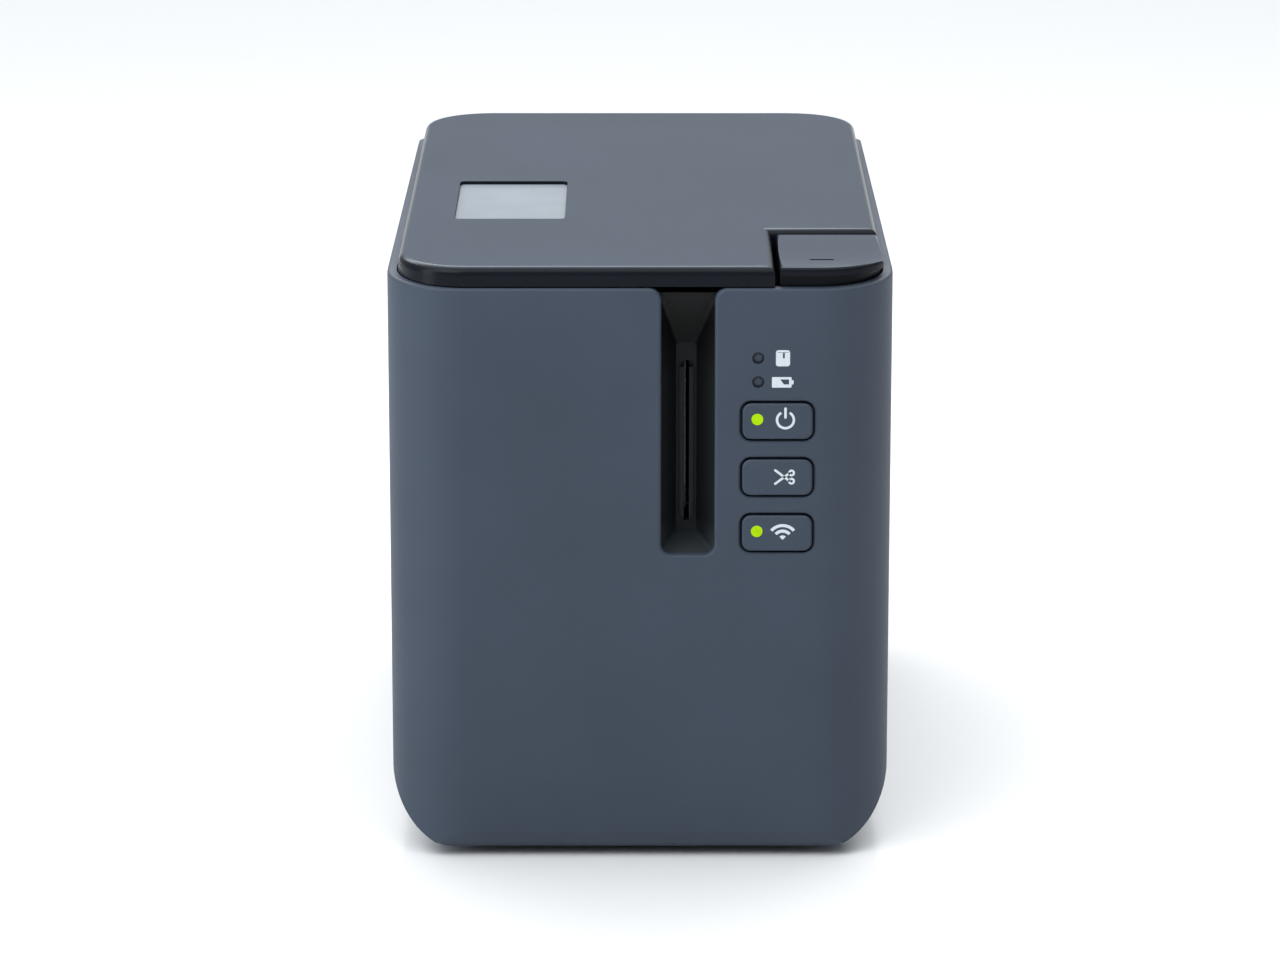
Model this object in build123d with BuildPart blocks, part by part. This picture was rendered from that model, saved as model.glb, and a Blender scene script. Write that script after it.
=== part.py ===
from build123d import *
import os
from math import atan2, cos, degrees, hypot, pi, radians, sin, sqrt, tan

# Desktop label printer. X runs right, Y back and Z up, in millimetres. The origin is on the table,
# under the middle of the case. The tape leaves through the tall slot in the front.

# Overall sizes
WIDTH = 118.0
DEPTH = 192.0
HEIGHT = 146.0
TAPE_W = 36.0

# Case
WALL = 2.2
FOOT_PROUD = 1.5
RAIL_BELOW_TOP = 7.2
LIP_DROP = 1.5
SEAM_FROM_FRONT = 21.0
FRONT_CORNER_R = 18.0
REAR_CORNER_R = 2.6
UNDER_CORNER_R = 19.0
FRONT_UNDER_R = 6.0
REAR_UNDER_R = 5.0
ROUND_OVERRUN = 0.12
EDGE_SOFT = 0.6
RIM_R = 0.8
HOLE_RIM = 0.35
TONGUE_LENGTH = 4.0
TONGUE_WALL = 1.2
TONGUE_GAP = 0.15
BODY_GAP = 0.3

# Bottom panel, feet and screws
PANEL_INSET = 20.0
PANEL_FRONT_GAP = 27.5
PANEL_REAR_GAP = 10.0
PANEL_GAP = 0.3
PANEL_LEDGE = 3.0
PANEL_LEDGE_T = 2.0
FOOT_D = 13.0
FOOT_SET = 0.7
FOOT_INSET = 9.0
FOOT_CHAMFER = 0.5
SCREW_D = 3.0
SCREW_HEAD_D = 5.6
SCREW_HEAD_T = 1.8
SCREW_CROSS_L = 3.0
SCREW_CROSS_T = 0.8
SCREW_CROSS_DEPTH = 1.0
SCREW_LENGTH = 9.0
SCREW_BOSS_D = 7.0
SCREW_SINK = 1.0
BASE_BOSS_H = 10.0

# Lid
COVER_GAP = 0.35
COVER_WALL = 2.2
COVER_TOP_T = 2.6
COVER_SET_BACK = 0.8
COVER_FRONT_DROP = 3.8
COVER_FRONT_R = 16.0
COVER_REAR_R = 17.0
COVER_EDGE_R = 2.0
COVER_LIP_GAP = 0.4
COVER_SKIRT_DROP = 6.5
SKIRT_FRONT_END = 46.0
LID_RIB_T = 1.6
LID_RIB_H = 3.0
LID_RIB_XS = (-8.0, 16.0)
LID_RIB_END_GAP = 18.0
LID_CROSS_FROM_FRONT = (116.0, 150.0)
LID_CROSS_HALF = 50.0
WINDOW_W = 26.7
WINDOW_L = 44.7
WINDOW_X = -31.35
WINDOW_FROM_FRONT = 77.0
WINDOW_T = 1.6
WINDOW_SUNK = 0.8
WINDOW_LEDGE = 1.5
WINDOW_FIT = 0.1
WINDOW_R = 1.5

# Lid hinge
HINGE_INSET = 8.0
HINGE_BELOW_RAIL = 1.5
HINGE_PIN_D = 3.0
HINGE_RUN_FIT = 0.06
HINGE_PRESS_FIT = 0.02
HINGE_KNUCKLE_R = 4.0
HINGE_LUG_X = 35.0
HINGE_LUG_W = 4.0
HINGE_POST_W = 4.6
HINGE_SIDE_GAP = 0.4
HINGE_NOTCH_GAP = 0.7
REAR_WALL_DROP = 8.5
REAR_SHELF_DROP = 11.5
REAR_SHELF_T = 2.5
REAR_SHELF_DEPTH = 20.0

# Release button and latch
RELEASE_X = 31.1
RELEASE_LENGTH = 41.4
RELEASE_GAP = 1.2
RELEASE_TOP_T = 2.0
RELEASE_TRAVEL = 1.8
RELEASE_SKIRT_GAP = 0.5
RELEASE_SKIRT_T = 1.6
RELEASE_SKIRT_DROP = 5.0
RELEASE_STEM_D = 6.0
RELEASE_STEM_X = 50.0
RELEASE_STEM_FROM_FRONT = 32.0
RELEASE_STEM_LENGTH = 22.0
STEM_FIT = 0.08
LATCH_W = 6.0
LATCH_X = 42.0
LATCH_T = 2.0
LATCH_RISE = 6.0
LATCH_NOSE_T = 2.0
LATCH_CLEAR = 0.3
HOOK_T = 2.0
HOOK_NOSE = RELEASE_TRAVEL
HOOK_FROM_FRONT = 45.7
HOOK_RISE = 1.5
HOOK_NOSE_H = 2.5
RELEASE_DISH = 0.5
GROOVE_L = 5.8
GROOVE_W = 1.4
GROOVE_DEPTH = 0.5
GROOVE_FROM_SIDE = 9.9
GROOVE_FROM_FRONT = 12.0
RAMP_GAP = 0.3
RAMP_FROM_REAR = 6.7
RAMP_LENGTH = 3.5
WEDGE_LENGTH = 2.1
LATCH_FRONT_GAP = 30.0
LATCH_RIB_T = 1.5
LATCH_SIDE_GAP = 0.3
LATCH_RIB_L = 10.0

# Deck and cassette bay
DECK_BELOW_RAIL = 7.5
DECK_T = 3.0
DECK_INSET = 4.0
DECK_REAR_GAP = 10.5
CHUTE_CUT_GAP = 1.0
LEDGE_W = 5.0
LEDGE_T = 2.5
BAY_BEYOND_TAPE = 23.5
BAY_WALL = 2.0
BAY_LEFT = -53.0
BAY_GEAR_ROOM = 3.5
BAY_FROM_FRONT = 32.0
BAY_LENGTH = 90.0
BAY_CORNER_R = 3.0
DECK_SCREW_X = 48.0
DECK_SCREW_REAR_GAP = 28.0
DECK_SCREW_FROM_FRONT = 68.0
DECK_SCREW_BEHIND_BAY = 8.0
DECK_BOSS_H = 14.0
SCREW_HOLE_GAP = 0.1

# Front slot and panel
SLOT_X = 11.1
SLOT_W = 12.4
SLOT_BEYOND_TAPE = 27.3
SLOT_LOW_R = 2.5
SLOT_FLARE_R = 3.0
BUTTON_X = 31.85
BUTTON_W = 16.2
BUTTON_H = 8.4
BUTTON_R = 2.0
BUTTON_GAP = 0.55
BUTTON_DROP = 31.2
BUTTON_PITCH = 13.37
BUTTON_PROUD = 0.35
BUTTON_TRAVEL = 0.6
STATUS_X = 27.3
STATUS_D = 2.8
STATUS_SUNK = 0.6
STATUS_DROPS = (16.25, 21.9)
LENS_D = 2.7
LENS_FIT = 0.05
LENS_OFFSET_X = -4.7
LENS_RISE = 0.5
FLANGE_MARGIN = 1.2
FLANGE_T = 1.0
FLANGE_GAP = 0.3
STUB_D = 4.0
SWITCH_W = 6.0
SWITCH_H = 3.5
PLUNGER_D = 3.0
PLUNGER_PROUD = BUTTON_TRAVEL + FLANGE_GAP
PLUNGER_GAP = 0.15
PLUNGER_L = 1.6
PLUNGER_WELL = 1.5
PANEL_PCB_FROM_FRONT = 8.6
PANEL_PCB_T = 1.6
PANEL_PCB_X = (21.0, 44.0)
PANEL_PCB_DROPS = (10.5, 70.0)
PANEL_BOSS_D = 5.0
PANEL_BOSS_X = (24.0, 41.0)
PANEL_BOSS_DROPS = (13.0, 67.0)
STAKE_D = 2.4
STAKE_GAP = 0.1
STAKE_PROUD = 0.7
CHUTE_STAKE_X = -2.0
CHUTE_STAKE_DROPS = (22.0, 56.0)
CHUTE_EAR_FROM_WALL = 2.0
CHUTE_EAR_T = 1.6
CHUTE_WALL = 1.8
CHUTE_DEPTH = 11.3
CHUTE_BACK_T = 2.0
CHUTE_TOP_GAP = 1.2
CHUTE_LEFT_BACK = 2.2
CHUTE_RIGHT_BACK = 2.6
CHUTE_SLIT_W = 1.2
CHUTE_SLIT_SHIFT = 0.25
CHUTE_RIB_W = 0.9
CHUTE_RIB_PROUD = 1.8
CHUTE_FLOOR_RISE = 3.2
CHUTE_TOP_FALL = 12.0

# Board and sockets at the back
BOARD_HALF_W = 31.0
BOARD_LENGTH = 56.0
BOARD_REAR_GAP = 2.4
BOARD_Z = 12.0
BOARD_T = 1.6
BOARD_POST_D = 6.0
BOARD_POST_INSET = 4.0
USB_X = -20.0
USB_W = 12.0
USB_H = 10.8
USB_L = 16.0
JACK_X = 18.0
JACK_W = 9.0
JACK_H = 11.0
JACK_L = 14.0
PORT_GAP = 0.5
PORT_SET_BACK = 0.4
PORT_BORE_L = 9.0
USB_SHELL_T = 0.8
USB_TONGUE_W = 5.6
USB_TONGUE_H = 3.2
JACK_BORE_D = 6.3
JACK_PIN_D = 2.0
JACK_PIN_SHORT = 1.5

# Tape path and feed train
TAPE_X = 10.6
TAPE_T = 0.2
TAPE_ABOVE_FLOOR = 9.0
ROLLER_GAP = 0.3
GEAR_MODULE = 0.6
GEAR_T = 4.0
GEAR_ABOVE_FLOOR = 0.5
GEAR_THIN = 0.2
PRESSURE_ANGLE = 20.0
ADDENDUM = 0.85
DEDENDUM = 1.2
PLATEN_R = 6.0
PLATEN_TEETH = 18
FEED_TEETH = 20
HOLDER_TEETH = 16
IDLER_TEETH = 20
PINION_TEETH = 10
RIBBON_TEETH = 24
PLATEN_FROM_FRONT = 58.0
FEED_FROM_FRONT = 41.5
PIVOT_FROM_FRONT = 82.0
PIVOT_X = 22.0
PINION_ANGLE = 126.9
RIBBON_ANGLE = 205.0
SHAFT_D = 3.0
RUN_FIT = 0.05
PRESS_BORE_GAP = 0.02
GEAR_POST_D = 4.0
ROLLER_BEYOND_TAPE = 2.6
ROLLER_L = TAPE_W + ROLLER_BEYOND_TAPE
ROLLER_ABOVE_FLOOR = 7.9
HOLDER_T = 2.0
HOLDER_GAP = 0.6
HOLDER_BOSS_R = 4.0
HOLDER_WEB_T = 2.0
HOLDER_WEB_X = 27.0
HOLDER_LIP = 3.0
FLOOR_T = 2.0
FEED_MOTOR_D = 24.0
FEED_MOTOR_L = 27.0
MOTOR_SHAFT_D = 2.0
MOTOR_NOSE_D = 7.0
SPINDLE_D = 5.0
SPINDLE_FINS = 6
SPINDLE_FIN_T = 1.0
SPINDLE_FIN_R = 3.3
SPINDLE_TOP_GAP = 2.5
HEAD_LENGTH = 16.0
HEAD_T = 3.2
HEAD_FACE_T = 0.8
HEAD_FACE_L = 6.0
HEAD_GAP = 0.4
HEAD_LEG_L = 2.8
HEAD_BEYOND_TAPE = 7.0
HEAD_H = TAPE_W + HEAD_BEYOND_TAPE
HEAD_ABOVE_FLOOR = 6.1

# Cutter
CUT_MODULE = 0.8
BLADE_T = 1.2
BLADE_SHEAR_GAP = 0.2
BLADE_FROM_FRONT = 16.0
BLADE_PIVOT_X = 11.0
BLADE_PIVOT_BELOW_TAPE = 13.5
BLADE_PIVOT_D = 4.0
BLADE_OPEN = 16.0
BLADE_W = 9.0
BLADE_HUB_R = 6.0
SECTOR_TEETH = 50
SECTOR_FIRST = -4
SECTOR_LAST = 1
SMALL_TEETH = 12
WHEEL_TEETH = 36
CUT_GEAR_T = 2.4
FRAME_T = 1.5
FRAME_FROM_FRONT = 23.0
CUT_MOTOR_D = 20.0
CUT_MOTOR_L = 26.0
BLADE_EDGE_BACK = 1.0
FIXED_EDGE_GAP = 0.4
FIXED_BLADE_W = 21.0
BLADE_TIP_RISE = 4.0
BLADE_SLANT = 6.0
EAR_HALF = 6.0
BRACKET_W = 11.0
FRAME_LEFT = -14.0
FRAME_RIGHT = 50.0
FRAME_STEP_X = 20.0
FRAME_NECK_X = 33.0
FRAME_MARGIN = 6.0
FRAME_SCREW_LEFT = -9.0
FRAME_SCREW_RIGHT = 29.0
FRAME_BOSS_D = 7.0
TAPE_WINDOW_HALF = 4.5
TAPE_WINDOW_MARGIN = 2.5

# Tape cassette
CASSETTE_ABOVE_FLOOR = 5.5
SEAT_D = 6.0
SEAT_INSET = 4.0
CASSETTE_LEFT = -48.0
CASSETTE_RIGHT = 8.4
CASSETTE_ARM_X = 10.2
CASSETTE_FRONT_GAP = 38.0
CASSETTE_REAR_GAP = 114.0
CASSETTE_BEYOND_TAPE = 10.0
CASSETTE_H = TAPE_W + CASSETTE_BEYOND_TAPE
CASSETTE_SPLIT = 21.0
CASSETTE_WALL = 1.2
CASSETTE_R = 2.0
HEAD_ROOM = 1.5
HEAD_SIDE_ROOM = 2.6
TAPE_ROLL_AT = (-19.0, 84.0)
TAPE_ROLL_R = 24.0
TAPE_CORE_R = 9.0
TAPE_CORE_FIT = 0.2
SUPPLY_AT = (-33.0, 50.5)
SUPPLY_R = 9.0
SUPPLY_CORE_R = 3.0
TAKEUP_R = 6.8

# Heights and places that follow from the sizes above
FRONT_Y = -DEPTH / 2
REAR_Y = DEPTH / 2
HALF_W = WIDTH / 2
RAIL_Z = HEIGHT - RAIL_BELOW_TOP
LIP_Z = RAIL_Z - LIP_DROP
SEAM_Y = FRONT_Y + SEAM_FROM_FRONT
INNER_X = HALF_W - WALL
DECK_Z = RAIL_Z - DECK_BELOW_RAIL
BAY_FLOOR_Z = DECK_Z - TAPE_W - BAY_BEYOND_TAPE
BAY_FRONT_Y = FRONT_Y + BAY_FROM_FRONT
BAY_REAR_Y = BAY_FRONT_Y + BAY_LENGTH
COVER_HALF_W = INNER_X - COVER_GAP
COVER_FRONT_Y = FRONT_Y + COVER_SET_BACK
COVER_REAR_Y = REAR_Y - COVER_SET_BACK
COVER_FRONT_Z = HEIGHT - COVER_FRONT_DROP
COVER_SLOPE = COVER_FRONT_DROP / (COVER_REAR_Y - COVER_FRONT_Y)
HINGE_Y = REAR_Y - HINGE_INSET
HINGE_Z = RAIL_Z - HINGE_BELOW_RAIL
SHELF_Z = RAIL_Z - REAR_SHELF_DROP
RELEASE_REAR_Y = COVER_FRONT_Y + RELEASE_LENGTH
HOOK_Y = FRONT_Y + HOOK_FROM_FRONT
DECK_SCREWS = (
    (DECK_SCREW_X, REAR_Y - DECK_SCREW_REAR_GAP),
    (DECK_SCREW_X, FRONT_Y + DECK_SCREW_FROM_FRONT),
    (-DECK_SCREW_X, BAY_REAR_Y + DECK_SCREW_BEHIND_BAY),
    (-DECK_SCREW_X, REAR_Y - DECK_SCREW_REAR_GAP),
)
PANEL_HALF_W = HALF_W - PANEL_INSET
PANEL_FRONT_Y = FRONT_Y + PANEL_FRONT_GAP
PANEL_REAR_Y = REAR_Y - PANEL_REAR_GAP


def cover_z(y):
    """Height of the lid's sloping top at a place along its length."""
    return COVER_FRONT_Z + COVER_SLOPE * (y - COVER_FRONT_Y)


def rectangle_between(plane, low, high, radius=0.0):
    """Sketch of a rectangle between two corners, in the plane's own axes."""
    with BuildSketch(plane) as outline:
        with Locations(((low[0] + high[0]) / 2, (low[1] + high[1]) / 2)):
            Rectangle(high[0] - low[0], high[1] - low[1])
        if radius > 0:
            fillet(outline.vertices(), radius)
    return outline.sketch


def disc_at(plane, places, diameter):
    """Sketch of equal discs, in the plane's own axes."""
    with BuildSketch(plane) as outline:
        with Locations(*places):
            Circle(diameter / 2)
    return outline.sketch


def polygon_on(plane, *points):
    """Sketch of a closed straight-sided outline."""
    with BuildSketch(plane) as outline:
        with BuildLine():
            Polyline(*points, close=True)
        make_face()
    return outline.sketch


# The case block is a plan outline drawn up, with its lower edges rounded off
def case_plan(inset, z=0.0):
    with BuildSketch(Plane.XY.offset(z)) as outline:
        Rectangle(WIDTH - 2 * inset, DEPTH - 2 * inset)
        fillet(outline.vertices().group_by(Axis.Y)[0], FRONT_CORNER_R - inset)
        if inset < REAR_CORNER_R:
            fillet(outline.vertices().group_by(Axis.Y)[-1], REAR_CORNER_R - inset)
    return outline.sketch


def under_corner(plane, wall, bottom, radius, side):
    """What a rounded lower edge takes off, beside a wall on one side of a section."""
    centre = (wall - side * (radius - ROUND_OVERRUN), bottom + radius - ROUND_OVERRUN)
    outside = wall + side * radius
    with BuildSketch(plane) as outline:
        with Locations(((centre[0] + outside) / 2, (centre[1] + bottom - radius) / 2)):
            Rectangle(abs(outside - centre[0]), centre[1] - bottom + radius)
        with Locations(centre):
            Circle(radius, mode=Mode.SUBTRACT)
    return outline.sketch


def case_block(inset, top):
    """Solid of the case's outer form, drawn in by an inset."""
    half = HALF_W - inset
    bottom = FOOT_PROUD + inset
    section = Plane.XZ.offset(DEPTH)
    profile = Plane.YZ.offset(-WIDTH)
    with BuildPart() as block:
        extrude(case_plan(inset, bottom), amount=top - bottom)
        for side in (-1, 1):
            corner = under_corner(section, side * half, bottom, UNDER_CORNER_R - inset, side)
            extrude(corner, amount=-2 * DEPTH, mode=Mode.SUBTRACT)
        front_edge = under_corner(profile, FRONT_Y + inset, bottom, FRONT_UNDER_R - inset, -1)
        extrude(front_edge, amount=2 * WIDTH, mode=Mode.SUBTRACT)
        rear_edge = under_corner(profile, REAR_Y - inset, bottom, REAR_UNDER_R - inset, 1)
        extrude(rear_edge, amount=2 * WIDTH, mode=Mode.SUBTRACT)
    return block.part


outer_block = case_block(0.0, RAIL_Z)
inner_block = case_block(WALL, HEIGHT)

BUTTON_ZS = [LIP_Z - BUTTON_DROP - BUTTON_PITCH * row for row in range(3)]
STATUS_PLACES = [(STATUS_X, LIP_Z - drop) for drop in STATUS_DROPS]
SLOT_BOTTOM_Z = LIP_Z - TAPE_W - SLOT_BEYOND_TAPE
PANEL_BOSSES = [(x, LIP_Z - drop) for x in PANEL_BOSS_X for drop in PANEL_BOSS_DROPS]
PANEL_PCB_Y = FRONT_Y + PANEL_PCB_FROM_FRONT
CHUTE_STAKES = [(CHUTE_STAKE_X, LIP_Z - drop) for drop in CHUTE_STAKE_DROPS]
CHUTE_EAR_Y = FRONT_Y + WALL + CHUTE_EAR_FROM_WALL
STAKE_HOLE_D = STAKE_D + 2 * STAKE_GAP
BASE_SCREWS = [
    (side * (PANEL_HALF_W - SCREW_BOSS_D / 2), y)
    for side in (-1, 1)
    for y in (PANEL_FRONT_Y + SCREW_BOSS_D, PANEL_REAR_Y - SCREW_BOSS_D)
]
FOOT_PLACES = [
    (side * (PANEL_HALF_W - FOOT_INSET), y)
    for side in (-1, 1)
    for y in (PANEL_FRONT_Y + 2 * FOOT_INSET, PANEL_REAR_Y - 2 * FOOT_INSET)
]
BOARD_REAR_Y = REAR_Y - WALL - BOARD_REAR_GAP
BOARD_TOP_Z = BOARD_Z + BOARD_T
SCREW_HOLE_D = SCREW_D + SCREW_HOLE_GAP


def front_plane(y):
    """Plane that faces the front at a depth, with X right and Z up as its axes."""
    return Plane.XZ.offset(-y)


def slot_outline():
    """Tall slot in the front wall, open at the lip."""
    low = (SLOT_X - SLOT_W / 2, SLOT_BOTTOM_Z)
    high = (SLOT_X + SLOT_W / 2, HEIGHT)
    with BuildSketch() as corners:
        add(rectangle_between(Plane.XY, low, high))
        fillet(corners.vertices().group_by(Axis.Y)[0], SLOT_LOW_R)
    return front_plane(FRONT_Y) * corners.sketch


def case_section(plane, inset, top):
    """Cross-section of the case, square at the top and rounded below."""
    bottom = FOOT_PROUD + inset
    with BuildSketch(plane) as outline:
        with Locations((0, (bottom + top) / 2)):
            Rectangle(2 * (HALF_W - inset), top - bottom)
        fillet(outline.vertices().group_by(Axis.Y)[0], UNDER_CORNER_R - inset)
    return outline.sketch


def screw(plane):
    """Pan-head screw with its head on the plane and its shank behind it."""
    with BuildPart(plane) as body:
        Cylinder(SCREW_D / 2, SCREW_LENGTH, align=(Align.CENTER, Align.CENTER, Align.MAX))
        Cylinder(SCREW_HEAD_D / 2, SCREW_HEAD_T, align=(Align.CENTER, Align.CENTER, Align.MIN))
        with BuildSketch(plane.offset(SCREW_HEAD_T)):
            Rectangle(SCREW_CROSS_L, SCREW_CROSS_T)
            Rectangle(SCREW_CROSS_T, SCREW_CROSS_L)
        extrude(amount=-SCREW_CROSS_DEPTH, mode=Mode.SUBTRACT)
    return body.part


def is_slot_shoulder(edge):
    """True for the two edges through the wall where the slot meets the lip."""
    box = edge.bounding_box()
    beside_slot = abs(abs(box.min.X - SLOT_X) - SLOT_W / 2) < EDGE_SOFT and box.size.X < EDGE_SOFT
    return beside_slot and box.min.Z > LIP_Z - EDGE_SOFT and box.max.Y < FRONT_Y + 2 * WALL


def is_front_rim(edge):
    """True for an outer edge along the lip or round the slot, on the front and on both corners."""
    box = edge.bounding_box()
    on_front = box.max.Y < FRONT_Y + EDGE_SOFT
    beside_slot = on_front and (box.min.Z + box.max.Z) / 2 > SLOT_BOTTOM_Z - EDGE_SOFT
    outside = box.min.Y < FRONT_Y + WALL / 2 or max(-box.min.X, box.max.X) > HALF_W - WALL / 2
    along_wall = box.size.X > WALL + EDGE_SOFT or box.size.Y > WALL + EDGE_SOFT
    on_lip = outside and along_wall and box.min.Z > LIP_Z - EDGE_SOFT
    return beside_slot or on_lip


# Front shell: wraps the front corners and carries the slot, the buttons and the panel board
with BuildPart() as front_shell:
    add(outer_block)
    add(inner_block, mode=Mode.SUBTRACT)
    split(bisect_by=front_plane(SEAM_Y), keep=Keep.TOP)
    above_lip = polygon_on(
        Plane.YZ.offset(-WIDTH), (FRONT_Y, LIP_Z), (SEAM_Y, RAIL_Z), (SEAM_Y, HEIGHT), (FRONT_Y, HEIGHT)
    )
    extrude(above_lip, amount=2 * WIDTH, mode=Mode.SUBTRACT)
    for outer, start, end in (
        (WALL - TONGUE_GAP, SEAM_Y - TONGUE_LENGTH, SEAM_Y),
        (WALL + TONGUE_GAP, SEAM_Y - TONGUE_LENGTH, SEAM_Y + TONGUE_LENGTH),
    ):
        ring = case_section(front_plane(end), outer, RAIL_Z - LIP_DROP - TONGUE_LENGTH)
        hollow = case_section(front_plane(end), WALL + TONGUE_GAP + TONGUE_WALL, HEIGHT)
        extrude(ring - hollow, amount=end - start)
    extrude(slot_outline(), amount=-2 * WALL, mode=Mode.SUBTRACT)
    flare = [edge for edge in front_shell.edges() if is_slot_shoulder(edge)]
    fillet(flare, SLOT_FLARE_R)
    rim = [edge for edge in front_shell.edges() if is_front_rim(edge)]
    fillet(rim, RIM_R)
    for z in BUTTON_ZS:
        half_w = BUTTON_W / 2 + BUTTON_GAP
        half_h = BUTTON_H / 2 + BUTTON_GAP
        low = (BUTTON_X - half_w, z - half_h)
        high = (BUTTON_X + half_w, z + half_h)
        hole = rectangle_between(front_plane(FRONT_Y), low, high, BUTTON_R + BUTTON_GAP)
        extrude(hole, amount=-2 * WALL, mode=Mode.SUBTRACT)
        hole_rim = front_shell.edges(Select.LAST).group_by(Axis.Y)[0]
        chamfer(hole_rim, HOLE_RIM)
    status_hole = disc_at(front_plane(FRONT_Y), STATUS_PLACES, STATUS_D)
    extrude(status_hole, amount=-2 * WALL, mode=Mode.SUBTRACT)
    boss_root_y = FRONT_Y + WALL / 2
    extrude(disc_at(front_plane(boss_root_y), PANEL_BOSSES, PANEL_BOSS_D), amount=boss_root_y - PANEL_PCB_Y)
    panel_stakes = disc_at(front_plane(PANEL_PCB_Y), PANEL_BOSSES, STAKE_D)
    extrude(panel_stakes, amount=-(PANEL_PCB_T + STAKE_PROUD))
    extrude(disc_at(front_plane(boss_root_y), CHUTE_STAKES, PANEL_BOSS_D), amount=boss_root_y - CHUTE_EAR_Y)
    chute_stakes = disc_at(front_plane(CHUTE_EAR_Y), CHUTE_STAKES, STAKE_D)
    extrude(chute_stakes, amount=-(CHUTE_EAR_T + STAKE_PROUD))

# Rear case: tub behind the seam, with ledges for the deck, a shelf for the hinge and the sockets' openings
with BuildPart() as rear_case:
    add(outer_block)
    add(inner_block, mode=Mode.SUBTRACT)
    split(bisect_by=front_plane(SEAM_Y), keep=Keep.BOTTOM)
    rails = rear_case.edges().filter_by(Axis.Y).group_by(Axis.Z)[-1].sort_by(Axis.X)
    fillet([rails[0], rails[-1]], RIM_R)
    under_deck = Plane.XY.offset(DECK_Z - DECK_T)
    shelf_front_y = REAR_Y - REAR_SHELF_DEPTH
    ledge_in_x = INNER_X - LEDGE_W
    ledge_out_x = INNER_X + WALL / 2
    right_start = FRONT_Y + RELEASE_STEM_FROM_FRONT + RELEASE_STEM_D + 2 * BAY_WALL
    left_start = BAY_REAR_Y + BAY_WALL + BODY_GAP
    right_ledge = rectangle_between(under_deck, (ledge_in_x, right_start), (ledge_out_x, shelf_front_y))
    left_ledge = rectangle_between(under_deck, (-ledge_out_x, left_start), (-ledge_in_x, shelf_front_y))
    extrude(right_ledge, amount=-LEDGE_T)
    extrude(left_ledge, amount=-LEDGE_T)
    for x, y in DECK_SCREWS:
        side = 1 if x > 0 else -1
        low_x, high_x = sorted((x - side * SCREW_BOSS_D / 2, side * ledge_out_x))
        low = (low_x, y - SCREW_BOSS_D / 2)
        extrude(rectangle_between(under_deck, low, (high_x, y + SCREW_BOSS_D / 2)), amount=-DECK_BOSS_H)
    extrude(disc_at(under_deck, DECK_SCREWS, SCREW_HOLE_D), amount=-DECK_BOSS_H, mode=Mode.SUBTRACT)
    shelf_low = (-ledge_out_x, shelf_front_y)
    shelf_high = (ledge_out_x, REAR_Y - WALL / 2)
    extrude(rectangle_between(Plane.XY.offset(SHELF_Z), shelf_low, shelf_high), amount=-REAR_SHELF_T)
    wall_cut_low = (-INNER_X, REAR_Y - max(WALL, REAR_CORNER_R) - BODY_GAP)
    wall_top = Plane.XY.offset(RAIL_Z - REAR_WALL_DROP)
    wall_cut = rectangle_between(wall_top, wall_cut_low, (INNER_X, REAR_Y + WALL))
    extrude(wall_cut, amount=HEIGHT, mode=Mode.SUBTRACT)
    for side in (-1, 1):
        post_x = side * (HINGE_LUG_X - HINGE_LUG_W / 2 - HINGE_SIDE_GAP - HINGE_POST_W / 2)
        with BuildSketch(Plane.YZ.offset(post_x - HINGE_POST_W / 2)) as post:
            with Locations((HINGE_Y, HINGE_Z)):
                Circle(HINGE_KNUCKLE_R)
            with Locations((HINGE_Y, (HINGE_Z + SHELF_Z - REAR_SHELF_T / 2) / 2)):
                Rectangle(2 * HINGE_KNUCKLE_R, HINGE_Z - SHELF_Z + REAR_SHELF_T / 2)
            with Locations((HINGE_Y, HINGE_Z)):
                Circle(HINGE_PIN_D / 2 + HINGE_PRESS_FIT, mode=Mode.SUBTRACT)
        extrude(amount=HINGE_POST_W)
    opening_low = (-PANEL_HALF_W, PANEL_FRONT_Y)
    opening_high = (PANEL_HALF_W, PANEL_REAR_Y)
    rim_low = (-PANEL_HALF_W - WALL, PANEL_FRONT_Y - BODY_GAP)
    rim_high = (PANEL_HALF_W + WALL, PANEL_REAR_Y + WALL)
    floor_top = Plane.XY.offset(FOOT_PROUD + WALL)
    extrude(rectangle_between(floor_top, rim_low, rim_high), amount=PANEL_LEDGE_T)
    extrude(disc_at(floor_top, BASE_SCREWS, SCREW_BOSS_D), amount=BASE_BOSS_H)
    hollow_low = (opening_low[0] + PANEL_LEDGE, opening_low[1] + PANEL_LEDGE)
    hollow_high = (opening_high[0] - PANEL_LEDGE, opening_high[1] - PANEL_LEDGE)
    hollow = rectangle_between(floor_top, hollow_low, hollow_high)
    bosses = disc_at(floor_top, BASE_SCREWS, SCREW_BOSS_D)
    extrude(hollow - bosses, amount=PANEL_LEDGE_T, mode=Mode.SUBTRACT)
    extrude(rectangle_between(floor_top, opening_low, opening_high), amount=-2 * WALL, mode=Mode.SUBTRACT)
    extrude(disc_at(floor_top, BASE_SCREWS, SCREW_HOLE_D), amount=BASE_BOSS_H, mode=Mode.SUBTRACT)
    for x, width, height in ((USB_X, USB_W, USB_H), (JACK_X, JACK_W, JACK_H)):
        low = (x - width / 2 - PORT_GAP, BOARD_TOP_Z - PORT_GAP)
        high = (x + width / 2 + PORT_GAP, BOARD_TOP_Z + height + PORT_GAP)
        port = rectangle_between(front_plane(REAR_Y + WALL), low, high, PORT_GAP)
        extrude(port, amount=2.5 * WALL, mode=Mode.SUBTRACT)

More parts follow.
